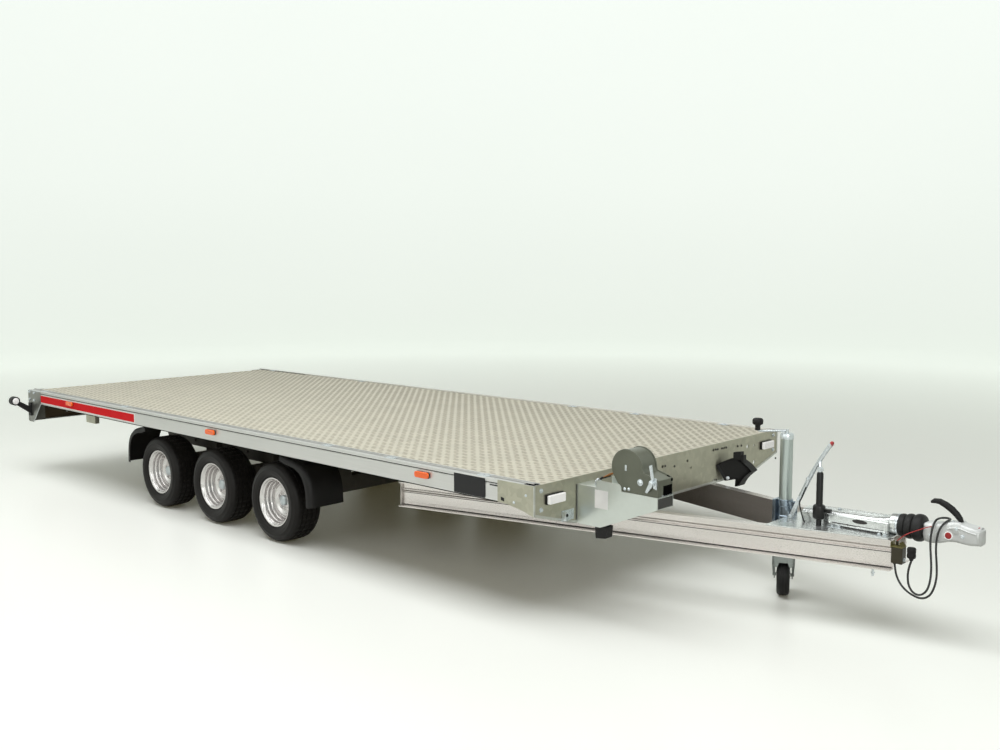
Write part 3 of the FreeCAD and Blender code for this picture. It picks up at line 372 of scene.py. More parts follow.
class Shape:
    """Solids that are collected in millimetres and turned into one piece at the end."""

    def __init__(self):
        self.bm = bmesh.new()

    def add(self, points, faces):
        corners = [self.bm.verts.new(point) for point in points]
        for face in faces:
            self.bm.faces.new([corners[i] for i in face])

    def prism(self, outline, push):
        """A closed outline pushed along a vector."""
        count = len(outline)
        near = [Vector(point) for point in outline]
        far = [point + Vector(push) for point in near]
        sides = [(i, (i + 1) % count, count + (i + 1) % count, count + i) for i in range(count)]
        self.add(near + far, [tuple(range(count)), tuple(range(2 * count - 1, count - 1, -1))] + sides)

    def block(self, x, y, z):
        """A box from the two ends of each side."""
        (x0, x1), (y0, y1), (z0, z1) = sorted(x), sorted(y), sorted(z)
        self.prism([(x0, y0, z0), (x1, y0, z0), (x1, y1, z0), (x0, y1, z0)], (0, 0, z1 - z0))

    def side_sheet(self, xz, y0, y1):
        """An upright outline along the trailer, made thick sideways."""
        y0, y1 = sorted((y0, y1))
        self.prism([(x, y0, z) for x, z in xz], (0, y1 - y0, 0))

    def skin(self, rings):
        """Faces between rings of points and over both ends."""
        rings = [[self.bm.verts.new(point) for point in ring] for ring in rings]
        for low, high in zip(rings, rings[1:]):
            for k in range(len(low)):
                n = (k + 1) % len(low)
                self.bm.faces.new((low[k], low[n], high[n], high[k]))
        self.bm.faces.new(rings[0][::-1])
        self.bm.faces.new(rings[-1])

    def lathe(self, profile, centre, axis, sides=32, closed=True, wave=None):
        """Turn (radius, along) points about an axis. wave(k, radius) may change a radius."""
        axis = Vector(axis).normalized()
        first = axis.orthogonal().normalized() if abs(axis.y) < 0.9 else Vector((1, 0, 0))
        second = axis.cross(first)
        rings = []
        for radius, along in profile:
            base = Vector(centre) + axis * along
            if radius == 0:
                rings.append([self.bm.verts.new(base)])
                continue
            ring = []
            for k in range(sides):
                turn = 2 * math.pi * k / sides
                size = radius if wave is None else wave(k, radius)
                ring.append(self.bm.verts.new(
                    base + (first * math.cos(turn) + second * math.sin(turn)) * size))
            rings.append(ring)
        pairs = list(zip(rings, rings[1:] + rings[:1])) if closed else list(zip(rings, rings[1:]))
        for low, high in pairs:
            for k in range(sides):
                n = (k + 1) % sides
                if len(low) == 1 and len(high) == 1:
                    continue
                if len(low) == 1:
                    self.bm.faces.new((low[0], high[n], high[k]))
                elif len(high) == 1:
                    self.bm.faces.new((low[k], low[n], high[0]))
                else:
                    self.bm.faces.new((low[k], low[n], high[n], high[k]))

    def rod(self, start, end, radius, sides=16):
        along = Vector(end) - Vector(start)
        self.lathe([(0, 0), (radius, 0), (radius, along.length), (0, along.length)],
                   start, along, sides, closed=False)

    def dome(self, centre, axis, radius, height, sides=20):
        steps = [(radius * math.cos(a), height * math.sin(a)) for a in (0, 0.35, 0.7, 1.05, 1.35)]
        self.lathe([(0, -1)] + [(radius, -1)] + steps + [(0, height)], centre, axis, sides, closed=False)

    def bolt(self, centre, axis, size=8.0):
        """A hexagon head on a washer, its thread size given."""
        self.lathe([(0, 0), (size * 1.1, 0), (size * 1.1, size * 0.16), (0, size * 0.16)],
                   centre, axis, 16, closed=False)
        head = Vector(centre) + Vector(axis).normalized() * size * 0.16
        self.lathe([(0, 0), (size * 0.9, 0), (size * 0.9, size * 0.5), (size * 0.76, size * 0.62),
                    (0, size * 0.62)], head, axis, 6, closed=False)

    def tube(self, points, radius, sides=10, smooth=4):
        """A round bar along a smooth line through the points."""
        knots = [Vector(point) for point in points]
        line = smooth_line([2 * knots[0] - knots[1]] + knots + [2 * knots[-1] - knots[-2]], smooth)
        across = (line[1] - line[0]).orthogonal().normalized()
        rings = []
        for index, point in enumerate(line):
            ahead = line[min(index + 1, len(line) - 1)] - line[max(index - 1, 0)]
            ahead.normalize()
            across = (across - ahead * across.dot(ahead)).normalized()
            other = ahead.cross(across)
            rings.append([point + (across * math.cos(2 * math.pi * k / sides)
                                   + other * math.sin(2 * math.pi * k / sides)) * radius
                          for k in range(sides)])
        self.skin(rings)

    def mirror(self):
        """Add the same shapes on the trailer's other side."""
        copy = bmesh.ops.duplicate(self.bm, geom=self.bm.verts[:] + self.bm.edges[:] + self.bm.faces[:])
        for vert in (part for part in copy["geom"] if isinstance(part, bmesh.types.BMVert)):
            vert.co.y = -vert.co.y

    def piece(self, name, material, body="frame", slot=None, bevel=0.0, replaces=(), angle=32):
        """Make the object, in place, riding on its body."""
        bmesh.ops.remove_doubles(self.bm, verts=self.bm.verts[:], dist=0.01)
        bmesh.ops.recalc_face_normals(self.bm, faces=self.bm.faces[:])
        mesh = bpy.data.meshes.new(name)
        self.bm.to_mesh(mesh)
        self.bm.free()
        mesh.transform(Matrix.Scale(MM, 4))
        mesh.transform(Matrix.Translation((deck_front, 0, 0)))
        for polygon in mesh.polygons:
            polygon.use_smooth = True
        mesh.set_sharp_from_angle(angle=math.radians(angle))
        mesh.materials.append(material)
        piece = bpy.data.objects.new(name, mesh)
        bpy.context.scene.collection.objects.link(piece)
        if bevel:
            edge = piece.modifiers.new("edges", "BEVEL")
            edge.width = bevel * MM
            edge.segments = 2
            edge.limit_method = "ANGLE"
            edge.angle_limit = math.radians(angle)
            edge.harden_normals = True
        if replaces:
            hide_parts(*replaces)
        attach(piece, body)
        return piece


def low_high(node):
    """A node's box in millimetres from the deck's front face."""
    low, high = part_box(node)
    shift = Vector((deck_front, 0, 0))
    return (low - shift) / MM, (high - shift) / MM


# Sizes read from the frame.
rails_low, rails_high = low_high("side_rails")
out = rails_high.y            # outer face of the rail on the trailer's left
deck_back = rails_low.x
rail_bottom = rails_low.z
rail_top = rails_high.z
plate_low, plate_high = low_high("deck_plate")
frame_bottom = low_high("side_beams")[0].z
front_gusset_length = 217
rail_width = 45.0


# Tread plate: groups of five bars, turned one way and the other.
grain_pitch = 62.0
grain_long = 13.0
grain_wide = 2.3
grain_high = 1.9
bars_apart = 6.4


def tread_bars(name, x0, x1):
    shape_points = []
    shape_faces = []
    columns = int((x1 - x0) / grain_pitch)
    rows = int((plate_high.y - 8) / grain_pitch)
    for column in range(columns):
        for row in range(-rows, rows + 1):
            for turn, shift in ((0, 0.0), (90, grain_pitch / 2)):
                middle = Vector((x0 + (column + 0.5) * grain_pitch + shift - grain_pitch / 4,
                                 row * grain_pitch + shift - grain_pitch / 4, plate_high.z))
                along = Vector((math.cos(math.radians(turn)), math.sin(math.radians(turn)), 0))
                across = Vector((-along.y, along.x, 0))
                for bar in range(-2, 3):
                    base = middle + across * bar * bars_apart
                    reach = grain_long - abs(bar) * 1.6
                    up = Vector((0, 0, grain_high))
                    first = len(shape_points)
                    shape_points += [
                        base + along * reach, base + along * reach * 0.6 + across * grain_wide,
                        base - along * reach * 0.6 + across * grain_wide, base - along * reach,
                        base - along * reach * 0.6 - across * grain_wide,
                        base + along * reach * 0.6 - across * grain_wide,
                        base + along * reach * 0.66 + up, base - along * reach * 0.66 + up]
                    shape_faces += [tuple(first + i for i in face) for face in (
                        (0, 1, 6), (1, 2, 7, 6), (2, 3, 7), (3, 4, 7), (4, 5, 6, 7), (5, 0, 6))]
    mesh = bpy.data.meshes.new(name)
    mesh.from_pydata([place(*point) for point in shape_points], [], shape_faces)
    for polygon in mesh.polygons:
        polygon.use_smooth = True
    mesh.materials.append(bar_shade_metal)
    piece = bpy.data.objects.new(name, mesh)
    bpy.context.scene.collection.objects.link(piece)
    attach(piece, "frame")


tread_length = plate_high.x - plate_low.x - 16
for part in range(3):
    start = plate_low.x + 8 + part * math.ceil(tread_length / 3 / grain_pitch) * grain_pitch
    tread_bars(f"tread_bars_{part + 1}", start,
               min(start + math.ceil(tread_length / 3 / grain_pitch) * grain_pitch, plate_high.x - 8))

# Rails: a bright upper bead, a lower lip, and flat black strips painted as the shade in the groove, under
# the rail's foot and along the inner edge, with black end caps at the front.
trim = Shape()
rail_front = -front_gusset_length - 2
inner_edge = out - rail_width
trim.block((deck_back + 4, rail_front), (out, out + 1.6), (rail_top - 15, rail_top - 2))
trim.block((deck_back + 4, rail_front), (out, out + 2.0), (rail_bottom, rail_bottom + 7))
trim.mirror()
trim.block((deck_back + 4, -2), (inner_edge, inner_edge + 3), (rail_top, rail_top + 7))
trim.block((deck_back + 4, -2), (-inner_edge - 3, -inner_edge), (rail_top, rail_top + 7))
trim.piece("rail_beads", rail_metal, slot="aluminium", bevel=0.6)
# Flat black: painted shade in the groove, under the rail's foot and along the inner edge near the back; the
# two small pieces at the front are the black end caps.
lines = Shape()
lines.block((deck_back + 120, rail_front), (out, out + 0.5), (rail_top - 20, rail_top - 16.5))
lines.block((deck_back + 215, rail_front), (out - 10, out - 3), (rail_bottom - 6, rail_bottom - 0.2))
lines.block((deck_back + 40, deck_back + 700), (inner_edge - 7, inner_edge - 3),
            (rail_top - 6, rail_top + 0.6))
lines.block((-64, -10), (out - 26, out - 8), (rail_top + 0.1, rail_top + 1.4))
lines.block((-30, -8), (out - 44, out - 32), (rail_top + 0.1, rail_top + 1.4))
lines.mirror()
lines.piece("rail_groove_shade_and_caps", shade_and_cap_black, slot="black_plastic")

# Bare plates: the dark sign on the near rail and the pale label on the winch stand.
sign = Shape()
sign.block((-500, -296), (-out - 2.4, -out - 1.6), (rail_bottom + 1, rail_top - 5))
sign.piece("blank_sign", sign_black, slot="black_plastic", bevel=0.3)
label = Shape()
label.side_sheet([(105, 510), (180, 510), (180, 594), (105, 594)], -out + 296 - 0.8, -out + 296 - 0.2)
label.piece("blank_label", label_white, slot="white_lens")

# Axle carriers below the side beams, with their bolts.
carrier_low = frame_bottom - 70
carriers = Shape()
carriers.side_sheet([(-3860, frame_bottom - 0.3), (-3820, carrier_low), (-3180, carrier_low),
                     (-3120, carrier_low - 14), (-2480, carrier_low - 14), (-2420, carrier_low - 4),
                     (-1950, carrier_low - 4), (-1900, frame_bottom - 0.3)], 662, 668)
for x in (-3640, -3480, -3240, -3080, -2840, -2590, -2430, -2180, -2010):
    carriers.bolt((x, 668, frame_bottom - 34), (0, 1, 0), 11)
carriers.mirror()
carriers.piece("axle_carriers", underframe, slot="underframe", bevel=1.0)

# Red reflective strips, plain, near the rear of each rail.
strip = Shape()
strip.side_sheet([(-5000, 556), (-3560, 552), (-3560, 606), (-5000, 608)], out + 0.2, out + 1.4)
strip.mirror()
strip.piece("red_strips", red_film, slot="red_lens", bevel=0.3)
edging = Shape()
edging.side_sheet([(-5010, 549), (-3550, 545), (-3550, 612), (-5010, 614)], out + 0.05, out + 0.6)
edging.mirror()
edging.piece("strip_edging", white_film, slot="white_lens")

# Lashing eyes along the rails: a small plate with a turned-down ring and two rivets.
eyes = Shape()
for x in (-4990, -3740, -1500, -980, -330):
    eyes.block((x - 34, x + 34), (inner_edge - 22, out - 6), (rail_top - 1.2, rail_top + 1.6))
    for along in (-24, 24):
        eyes.dome((x + along, out - 30, rail_top + 1.6), (0, 0, 1), 4.5, 2.2, 12)
    eyes.tube([(x - 14, out - 38, rail_top + 2), (x - 12, out - 50, rail_top + 3.4),
               (x + 12, out - 50, rail_top + 3.4), (x + 14, out - 38, rail_top + 2)], 2.2, 8)
eyes.mirror()
eyes.piece("lashing_eyes", zinc, slot="galvanised", bevel=0.4)

# Side markers: amber lens blocks with rounded ends on a dark foot.
marker = Shape()
marker_foot = Shape()
for x in (-716, deck_back / 2, deck_back + 716):
    z = rail_top - 46
    outline = rounded([(x + 36, z + 4), (x - 36, z + 4), (x - 36, z - 4), (x + 36, z - 4)], 11)
    marker.side_sheet(outline, out + 4, out + 17)
    marker_foot.side_sheet([(px + (px - x) * 0.02, pz + (pz - z) * 0.05) for px, pz in outline],
                           out + 0.4, out + 6)
marker.mirror()
marker_foot.mirror()
marker.piece("marker_lenses", amber_lens, slot="amber_lens", bevel=2.2, replaces=("side_lamps",))
marker_foot.piece("marker_feet", black_plastic, slot="black_plastic", bevel=0.8)


# Wheels. Outlines are (radius, along the axle, outwards) from the wheel's centre.
tyre_radius = 234.2
bead = 127.0


def both_sides(half):
    """A lathe outline that is the same on both sides of the wheel's middle, from one half."""
    return [(radius, -along) for radius, along in reversed(half)] + half


def tyre_outline():
    """Sidewall with its raised bands, tread with its grooves, and the inner lining."""
    side = [(bead + 2, 69), (bead + 10, 70), (bead + 17, 73), (bead + 21, 80), (bead + 23, 87),
            (bead + 27, 90), (bead + 30, 89.5), (bead + 33, 91.5), (bead + 42, 95), (bead + 52, 97.5),
            (bead + 60, 97.2), (bead + 62, 98.0), (bead + 65, 97.7), (bead + 67, 96.2),
            (bead + 76, 94.0), (bead + 84, 90.5), (bead + 86, 90.2), (bead + 92, 85),
            (bead + 99, 77), (bead + 103.5, 68)]
    tread = [(tyre_radius - 1.6, 60), (tyre_radius - 0.9, 52), (tyre_radius - 7, 50.5),
             (tyre_radius - 7, 44), (tyre_radius - 0.4, 42.5), (tyre_radius, 22.5),
             (tyre_radius - 7, 21), (tyre_radius - 7, 14), (tyre_radius, 12.5)]
    half = side + tread
    back = [(r, -along) for r, along in reversed(half)]
    lining = [(bead + 2, -58), (bead + 48, -86), (tyre_radius - 14, -56), (tyre_radius - 14, 56),
              (bead + 48, 86), (bead + 2, 58)]
    return half + back + lining


def rim_outline():
    """Flange, three steps of the barrel, the disc with its raised ring, and the back."""
    face = [(143.6, 82.4), (144.0, 80), (143, 77.5), (139, 76.5)]
    back = [(132, 74), (127.5, 70), (126, 64), (126, 20), (116, 8), (116, -30), (118, -38), (125.5, -50),
            (126, -68), (132, -74), (143, -78), (143.6, -82.4), (141, -82.4), (136, -78),
            (124, -70), (122, -50), (108, -36), (106.2, -28), (106.2, -8)]
    disc = [(103.5, -3.5), (97, 2.5), (90, 4.2), (82, 1.0), (76, -4.6), (66, -5.4), (60, -4.4),
            (56, -5.4), (34, -5.4), (34, -1.6), (30, 0.2), (30, 3.4), (56, 0.2), (66, 0.6), (74, 2.4),
            (80, 6.8), (88, 11.5), (94, 11.6), (99, 8.5), (103, 3), (106, 4)]
    steps = [(108, 8), (109, 18), (111, 24), (114.5, 27), (115.5, 34), (116, 42), (118, 47),
             (121.5, 49.5), (122.6, 56), (123, 64), (125.5, 69), (130, 71), (131.5, 73.5), (133, 78),
             (136, 81), (140.5, 83)]
    return face + back + disc + steps


def wheel_meshes(out_sign):
    """The two pieces of a wheel about its own centre, its outer side towards out_sign."""
    axis = (0, out_sign, 0)
    tyre = Shape()

    def blocks(k, radius):
        return radius - 4.5 if k % 4 == 0 and radius > tyre_radius - 2 else radius

    tyre.lathe(tyre_outline(), (0, 0, 0), axis, 144, wave=blocks)
    rim = Shape()
    rim.lathe(rim_outline(), (0, 0, 0), axis, 64)
    for k in range(5):
        a = 2 * math.pi * (k + 0.25) / 5
        spot = (56 * math.cos(a), out_sign * (disc_along + 0.5), 56 * math.sin(a))
        rim.lathe([(0, -2), (13, -2), (13, 3), (10.5, 5), (0, 5)], spot, axis, 16, closed=False)
        rim.lathe([(0, 4), (8.6, 4), (8.6, 13), (6.5, 16), (0, 16)], spot, axis, 6, closed=False)
    return tyre, rim


wheel_height = 234.25
rim_middle_y = 928.5
disc_along = 82.4 - 86        # mounting face of the disc, outwards from the rim's middle
axle_x = {"front": -2059, "middle": -2708, "rear": -3357}
for axle, x in axle_x.items():
    for side, sign in (("left", 1), ("right", -1)):
        shift = Vector((x, sign * rim_middle_y, wheel_height))
        tyre, rim = wheel_meshes(sign)
        for part in (tyre, rim):
            bmesh.ops.translate(part.bm, verts=part.bm.verts[:], vec=shift)
        wheel = f"{axle}_{side}"
        body = f"wheel_{wheel}"
        tyre.piece(f"tyre_tread_{wheel}", tyre_rubber, body, "tyre", replaces=(f"tyre_{wheel}",))
        rim.piece(f"rim_disc_{wheel}", rim_paint, body, "rim", replaces=(f"rim_{wheel}",), angle=40)
        hub = Shape()
        face = shift + Vector((0, sign * disc_along, 0))
        hub.lathe([(28, -4), (33, -4), (33, 4), (31, 6), (31, 20), (29, 27), (22, 31), (0, 32.5),
                   (0, 29.5), (20, 28), (26, 24), (28, 18)], face, (0, sign, 0), 32)
        hub.dome(face + Vector((0, sign * 31, 0)), (0, sign, 0), 7, 3, 12)
        hub.rod(face + Vector((118, sign * 44, 8)), face + Vector((112, sign * 70, 8)), 4.2, 10)
        hub.piece(f"hub_cap_{wheel}", cap_zinc, body, "zinc", angle=40)
        # Black discs in the rim's holes: painted shade.
        hole_shades = Shape()
        for k in range(5):
            a = 2 * math.pi * (k + 0.75) / 5
            spot = face + Vector((62 * math.cos(a), sign * 1.6, 62 * math.sin(a)))
            hole_shades.lathe([(0, 0), (8.5, 0), (8.0, 1.2), (0, 1.2)], spot, (0, sign, 0), 16, closed=False)
        hole_shades.piece(f"rim_hole_shades_{wheel}", black_paint, body, "tyre")
        drum = Shape()
        drum.lathe([(24, -92), (100, -92), (103, -88), (103, -34), (24, -34)], face, (0, sign, 0), 40)
        drum.piece(f"brake_drum_{wheel}", dark_cast_and_shade, body, "underframe", bevel=1.0)


# Mudguards: a moulded sheet swept along its curve, with a broad rolled outer edge.
guard_outer = out - 21
guard_curve = [(130, 0), (199, 20), (290, 40), (358, 84), (395, 160), (405, 273)]
guard_section = [(0, 42), (0, 26), (4, 13), (14, 4), (30, 0.6), (48, 0), (228, 0), (232, 6)]
guard_thick = 3.2
guards = Shape()
for x, reach in ((axle_x["front"], 1.0), (axle_x["rear"], -0.9)):
    knots = [Vector((x + reach * along, 0, rail_bottom - 0.3 - drop)) for along, drop in guard_curve]
    hub_point = Vector((x, 0, wheel_height))
    rings = []
    for point in smooth_line([knots[0]] + knots + [knots[-1]], 4):
        inward = (hub_point - point).normalized()
        ring = [point + inward * inset + Vector((0, guard_outer - across, 0))
                for across, inset in guard_section]
        ring += [point + inward * (inset + guard_thick)
                 + Vector((0, guard_outer - max(across, guard_thick), 0))
                 for across, inset in reversed(guard_section[1:])]
        ring.append(point + inward * 42 + Vector((0, guard_outer - guard_thick, 0)))
        rings.append(ring)
    guards.skin(rings)
guards.mirror()
guards.piece("mudguard_shells", black_plastic, slot="black_plastic", replaces=("mudguards",), angle=50)

# Rear end: bright edges, the light board's inside painted dark brown as shade, its lamps, and the outline
# lamps.
board_low, board_high = low_high("light_board")
rear_edges = Shape()
rear_edges.tube([(deck_back + 75, out + 1.5, board_low.z + 1), (deck_back + 144, out + 1.5,
                (board_low.z + rail_bottom) / 2), (deck_back + 213, out + 1.5, rail_bottom)], 2.4, 8)
rear_edges.block((deck_back + 1, deck_back + 212), (out + 0.4, out + 3.4), (rail_top - 5, rail_top - 1))
rear_edges.mirror()
rear_edges.block((board_high.x - 3, board_high.x + 1), (board_low.y + 2, board_high.y - 2),
                 (board_low.z, board_low.z + 5))
for y in (-1010, -760, -420, 0, 420, 760, 1010):
    rear_edges.bolt((board_low.x + 4.2, y, board_low.z + 46), (1, 0, 0), 9)
rear_edges.piece("rear_edges", zinc, slot="galvanised", bevel=0.6)
# A dark brown sheet inside the light board: painted shade.
painted_shade = Shape()
painted_shade.block((board_low.x + 3.2, board_low.x + 4), (board_low.y + 4, board_high.y - 4),
            (board_low.z + 4, board_high.z - 4))
painted_shade.piece("board_painted_shade", painted_shade_brown, slot="underframe")

lamp_low, lamp_high = low_high("rear_lamps")
lamp_shells = Shape()
lamp_colours = {"red": Shape(), "amber": Shape(), "white": Shape()}
for side in (-1, 1):
    middle = side * (lamp_high.y - 120)
    lamp_shells.block((lamp_high.x - 14, lamp_high.x), (middle - 120, middle + 120),
                      (lamp_low.z, lamp_high.z))
    for colour, start, end in (("red", 20, 116), ("amber", -48, 18), ("white", -116, -50)):
        lamp_colours[colour].block((lamp_low.x, lamp_high.x - 13),
                                   (middle + side * start, middle + side * end),
                                   (lamp_low.z + 5, lamp_high.z - 5))
lamp_shells.piece("rear_lamp_cases", black_plastic, slot="black_plastic", bevel=2.0,
                  replaces=("rear_lamps",))
for colour, finish in (("red", red_lens), ("amber", amber_lens), ("white", white_lens)):
    lamp_colours[colour].piece(f"rear_lamps_{colour}", finish, slot=f"{colour}_lens", bevel=3.0)

outline_high = low_high("outline_lamps")[1]
outline_at = Vector((deck_back + 40, outline_high.y - 33, rail_top - 74))
outline_rings = Shape()
outline_white = Shape()
outline_red = Shape()
for side in (-1, 1):
    spot = Vector((outline_at.x, side * outline_at.y, outline_at.z))
    for way, lens_shape in ((1, outline_white), (-1, outline_red)):
        outline_rings.lathe([(24, 25), (27, 29), (31, 29), (33, 25)], spot, (way, 0, 0), 32)
        lens_shape.dome(spot + Vector((way * 26, 0, 0)), (way, 0, 0), 24.5, 7, 28)
outline_rings.piece("outline_rings", soft_rubber, slot="rubber")
outline_white.piece("outline_lenses_white", white_lens, slot="white_lens", angle=60)
outline_red.piece("outline_lenses_red", red_lens, slot="red_lens", angle=60)

# Front panel: bolts, folded foot, lug, marker lamps, and black patches painted as the shade in the lug's
# hole and the gusset's slot.
bolts = Shape()
for side in (-1, 1):
    for z in (611, 525):
        bolts.bolt((0.2, side * 1025, z), (1, 0, 0), 10)
    for x, z in ((-116, 549), (-45, 591)):
        bolts.bolt((x, side * (out + 3.4), z), (0, side, 0), 6)
    for x, z in ((-5188, 622), (-5110, 620), (-5188, 566), (-5112, 563)):
        bolts.bolt((x, side * (out + 3.4), z), (0, side, 0), 10)
bolts.piece("panel_bolts", zinc, slot="zinc")
# Bolts in dark zinc as painted shade, and a dark strip of painted shadow where the winch stand meets the
# panel.
shade_studs = Shape()
for y, z in ((-91, 585), (-8, 572), (384, 607), (404, 606), (446, 605), (490, 604), (395, 439),
             (610, 596), (650, 594), (1036, 470)):
    shade_studs.bolt((0.2, y + 22, z), (1, 0, 0), 6)
shade_studs.block((0.3, 1.6), (-out + 289, -out + 294), (424, 604))
shade_studs.piece("panel_shade_studs", painted_shade_zinc, slot="zinc")

folds = Shape()
folds.block((0.2, 2.4), (-798, 798), (frame_bottom, frame_bottom + 13))
for side in (-1, 1):
    folds.prism([(0.2, side * 798, frame_bottom), (0.2, side * 1070, 500),
                 (0.2, side * 1070, 512), (0.2, side * 798, frame_bottom + 13)], (2.2, 0, 0))
    folds.block((-1, 2.4), (side * 1064, side * 1075.5), (502, rail_top - 2))
folds.piece("panel_folds", galvanised, slot="galvanised", bevel=0.8)

lug = Shape()
lug.block((0.2, 5), (-885, -800), (446, 496))
lug.block((5, 26), (-884, -866), (452, 492))
lug.prism([(5, -866, 452), (5, -812, 452), (24, -866, 452)], (0, 0, 6))
lug.rod((5, -845, 470), (17, -845, 470), 8)
lug.piece("panel_lug", zinc, slot="galvanised", bevel=1.2)
# Black disc and patches: painted shade in the lug's hole and in two slots on the near side.
hole_shade_marks = Shape()
hole_shade_marks.rod((26, -875, 478), (26.6, -875, 478), 8)
hole_shade_marks.side_sheet([(-196, 548), (-176, 544), (-176, 560), (-196, 564)], -(out + 4.2), -(out + 3.2))
hole_shade_marks.side_sheet([(-268, 606), (-220, 606), (-220, 612), (-268, 612)], -(out + 1.2), -(out + 0.2))
hole_shade_marks.piece("dark_hole_shades", black_paint, slot="black_plastic")

lamp_y = out - 133
lamp_box = Shape()
lamp_face = Shape()
lamp_box.block((0.3, 11), (lamp_y - 59, lamp_y + 59), (rail_bottom + 4, rail_bottom + 49))
lamp_face.block((10, 27.6), (lamp_y - 55, lamp_y + 56), (rail_bottom + 6, rail_bottom + 46))
for shape in (lamp_box, lamp_face):
    shape.mirror()
lamp_box.piece("front_lamp_cases", black_plastic, slot="black_plastic", bevel=2.0,
               replaces=("front_lamps",))
lamp_face.piece("front_lamp_lenses", white_lens, slot="white_lens", bevel=4.0)

# Winch: two cheeks with the drum cover between them, and the gear case in front.
winch = Vector((278, 0, 714))
winch_r = 84.0
stand_low, stand_high = low_high("winch_stand")
stand_top = rail_top - 34
winch_near = stand_low.y + 4.3
winch_far = stand_high.y - 4.3
case_front = 444.0


def cheek_outline(grow):
    """Side of the case: its round drum cover, then the slope down to the gear case."""
    return ([(252, stand_top + 0.4), (220, 652), (204, 676)]
            + arc(winch.x, winch.z, winch_r + grow, range(200, -1, -8))
            + [(366, 704 + grow), (case_front - 6, 684 + grow), (case_front, 678),
               (case_front, stand_top + 0.4)])


green = Shape()
green.side_sheet(cheek_outline(0), winch_near, winch_near + 7)
green.side_sheet(cheek_outline(-4), winch_near + 6, winch_far - 6)
green.side_sheet(cheek_outline(0), winch_far - 7, winch_far)
green.piece("winch_case", winch_green, slot="winch_paint", bevel=2.2, replaces=("winch_body",), angle=40)
# Flat black patches: painted shade in the gear case's opening and along its top edge.
opening_shade = Shape()
opening_shade.block((case_front - 2, case_front + 0.9), (-731, -664), (606, 651))
opening_shade.side_sheet([(case_front - 26, 684), (case_front - 20, 688), (case_front + 0.9, 676),
                      (case_front + 0.9, 664), (case_front - 4, 664), (case_front - 4, 674)],
                     winch_far - 14, winch_far + 0.5)
opening_shade.piece("winch_opening_shade", shade_and_cap_black, slot="black_plastic", bevel=0.8)
fittings = Shape()
fittings.dome((351, winch_near - 0.5, 659), (0, -1, 0), 11, 7)
fittings.lathe([(0, 0), (15, 0), (15, 2), (0, 2)], (351, winch_near, 659), (0, -1, 0), 24, closed=False)
for x, z in ((268, 619), (290, 621)):
    fittings.dome((x, winch_near - 0.5, z), (0, -1, 0), 7.5, 5)
fittings.side_sheet([(268, 701), (278, 701), (278, 727), (268, 727)], winch_near - 1.6, winch_near)
fittings.side_sheet([(407, 742), (419, 748), (431, 682), (419, 680)], winch_near - 16, winch_near - 9)
fittings.rod((422, winch_near - 20, 669), (422, winch_near, 669), 13)
fittings.bolt((422, winch_near - 19, 669), (0, -1, 0), 11)
fittings.side_sheet([(404, 662), (420, 664), (424, 654), (396, 620), (386, 624)],
                    winch_near - 14, winch_near - 7)
fittings.side_sheet([(430, 690), (441, 688), (441, 640), (424, 646)], winch_near - 9, winch_near - 2)
fittings.block((case_front, case_front + 0.9), (-742, -668), (605.5, 611))
fittings.piece("winch_fittings", zinc, slot="zinc", bevel=1.0)

# Strap from the drum, its black hook and the shackle on the stand.
strap = Shape()
strap.side_sheet([(226, 688), (226, 691), (168, 672), (120, 646), (120, 643), (168, 669)], -742, -690)
strap.piece("winch_strap", orange_strap, slot="winch_paint", bevel=0.5)
hook = Shape()
hook.tube([(124, -716, 645), (110, -716, 640), (96, -716, 634), (84, -718, 622), (88, -722, 612),
           (100, -724, 612)], 5.5, 10)
hook.rod((124, -744, 645), (124, -688, 645), 4.5)
hook.piece("winch_hook", black_paint, slot="black_paint")
shackle = Shape()
shackle.tube([(80, -736, 606), (80, -735, 622), (86, -726, 632), (92, -716, 622), (92, -715, 606)],
             4.2, 10)
shackle.lathe([(0, 0), (13, 0), (13, 4), (0, 4)], (86, -726, stand_top), (0, 0, 1), 20, closed=False)
shackle.piece("stand_shackle", zinc, slot="zinc")

# Stand: side flanges raised round the winch's foot, a folded top edge and a rubber foot.
flanges = Shape()
edge_y = stand_low.y + 1.6
ear = stand_high.z
for edge in (((1, stand_top - 1), (60, stand_top - 1), (112, stand_top - 1)),
             ((112, ear - 2), (180, ear - 2), (234, ear - 2), (246, ear - 8), (250, ear - 18),
              (251, stand_top)),
             ((252, stand_top - 1), (350, stand_top - 1), (442, stand_top - 1)),
             ((443, stand_top - 2), (443, stand_top - 30), (443, stand_top - 53))):
    flanges.tube([(x, edge_y, z) for x, z in edge], 1.8, 8)
flanges.piece("stand_flanges", galvanised, slot="galvanised", bevel=0.8)
# A dark grey plate in the stand's front opening: painted shadow.
shadow_plate = Shape()
shadow_plate.block((444.8, 445.6), (stand_low.y + 5, stand_high.y - 5), (stand_top - 50, stand_top - 5))
shadow_plate.piece("stand_shadow", painted_shadow_grey, slot="black_plastic")
pad = Shape()
pad.prism([(80, -744, 420.5), (150, -744, 420.5), (144, -744, 366), (86, -744, 358)], (0, 50, 0))
pad.piece("stand_pad", soft_rubber, slot="rubber", bevel=2.0)

# Drawbar: bolts and clips under the near beam, and end edges.
clips = Shape()
for side in (-1, 1):
    clips.bolt((1112, side * 100, 287.8), (0, 0, -1), 10)
    clips.rod((1112, side * 100, 287), (1112, side * 100, 252), 5)
    clips.bolt((1112, side * 100, 268), (0, 0, -1), 8)
    clips.bolt((836, side * 160, 287.8), (0, 0, -1), 7)
clips.piece("beam_bolts", zinc, slot="zinc")

beam_low, beam_high = low_high("drawbar_beams")
beam_slope = 0.256


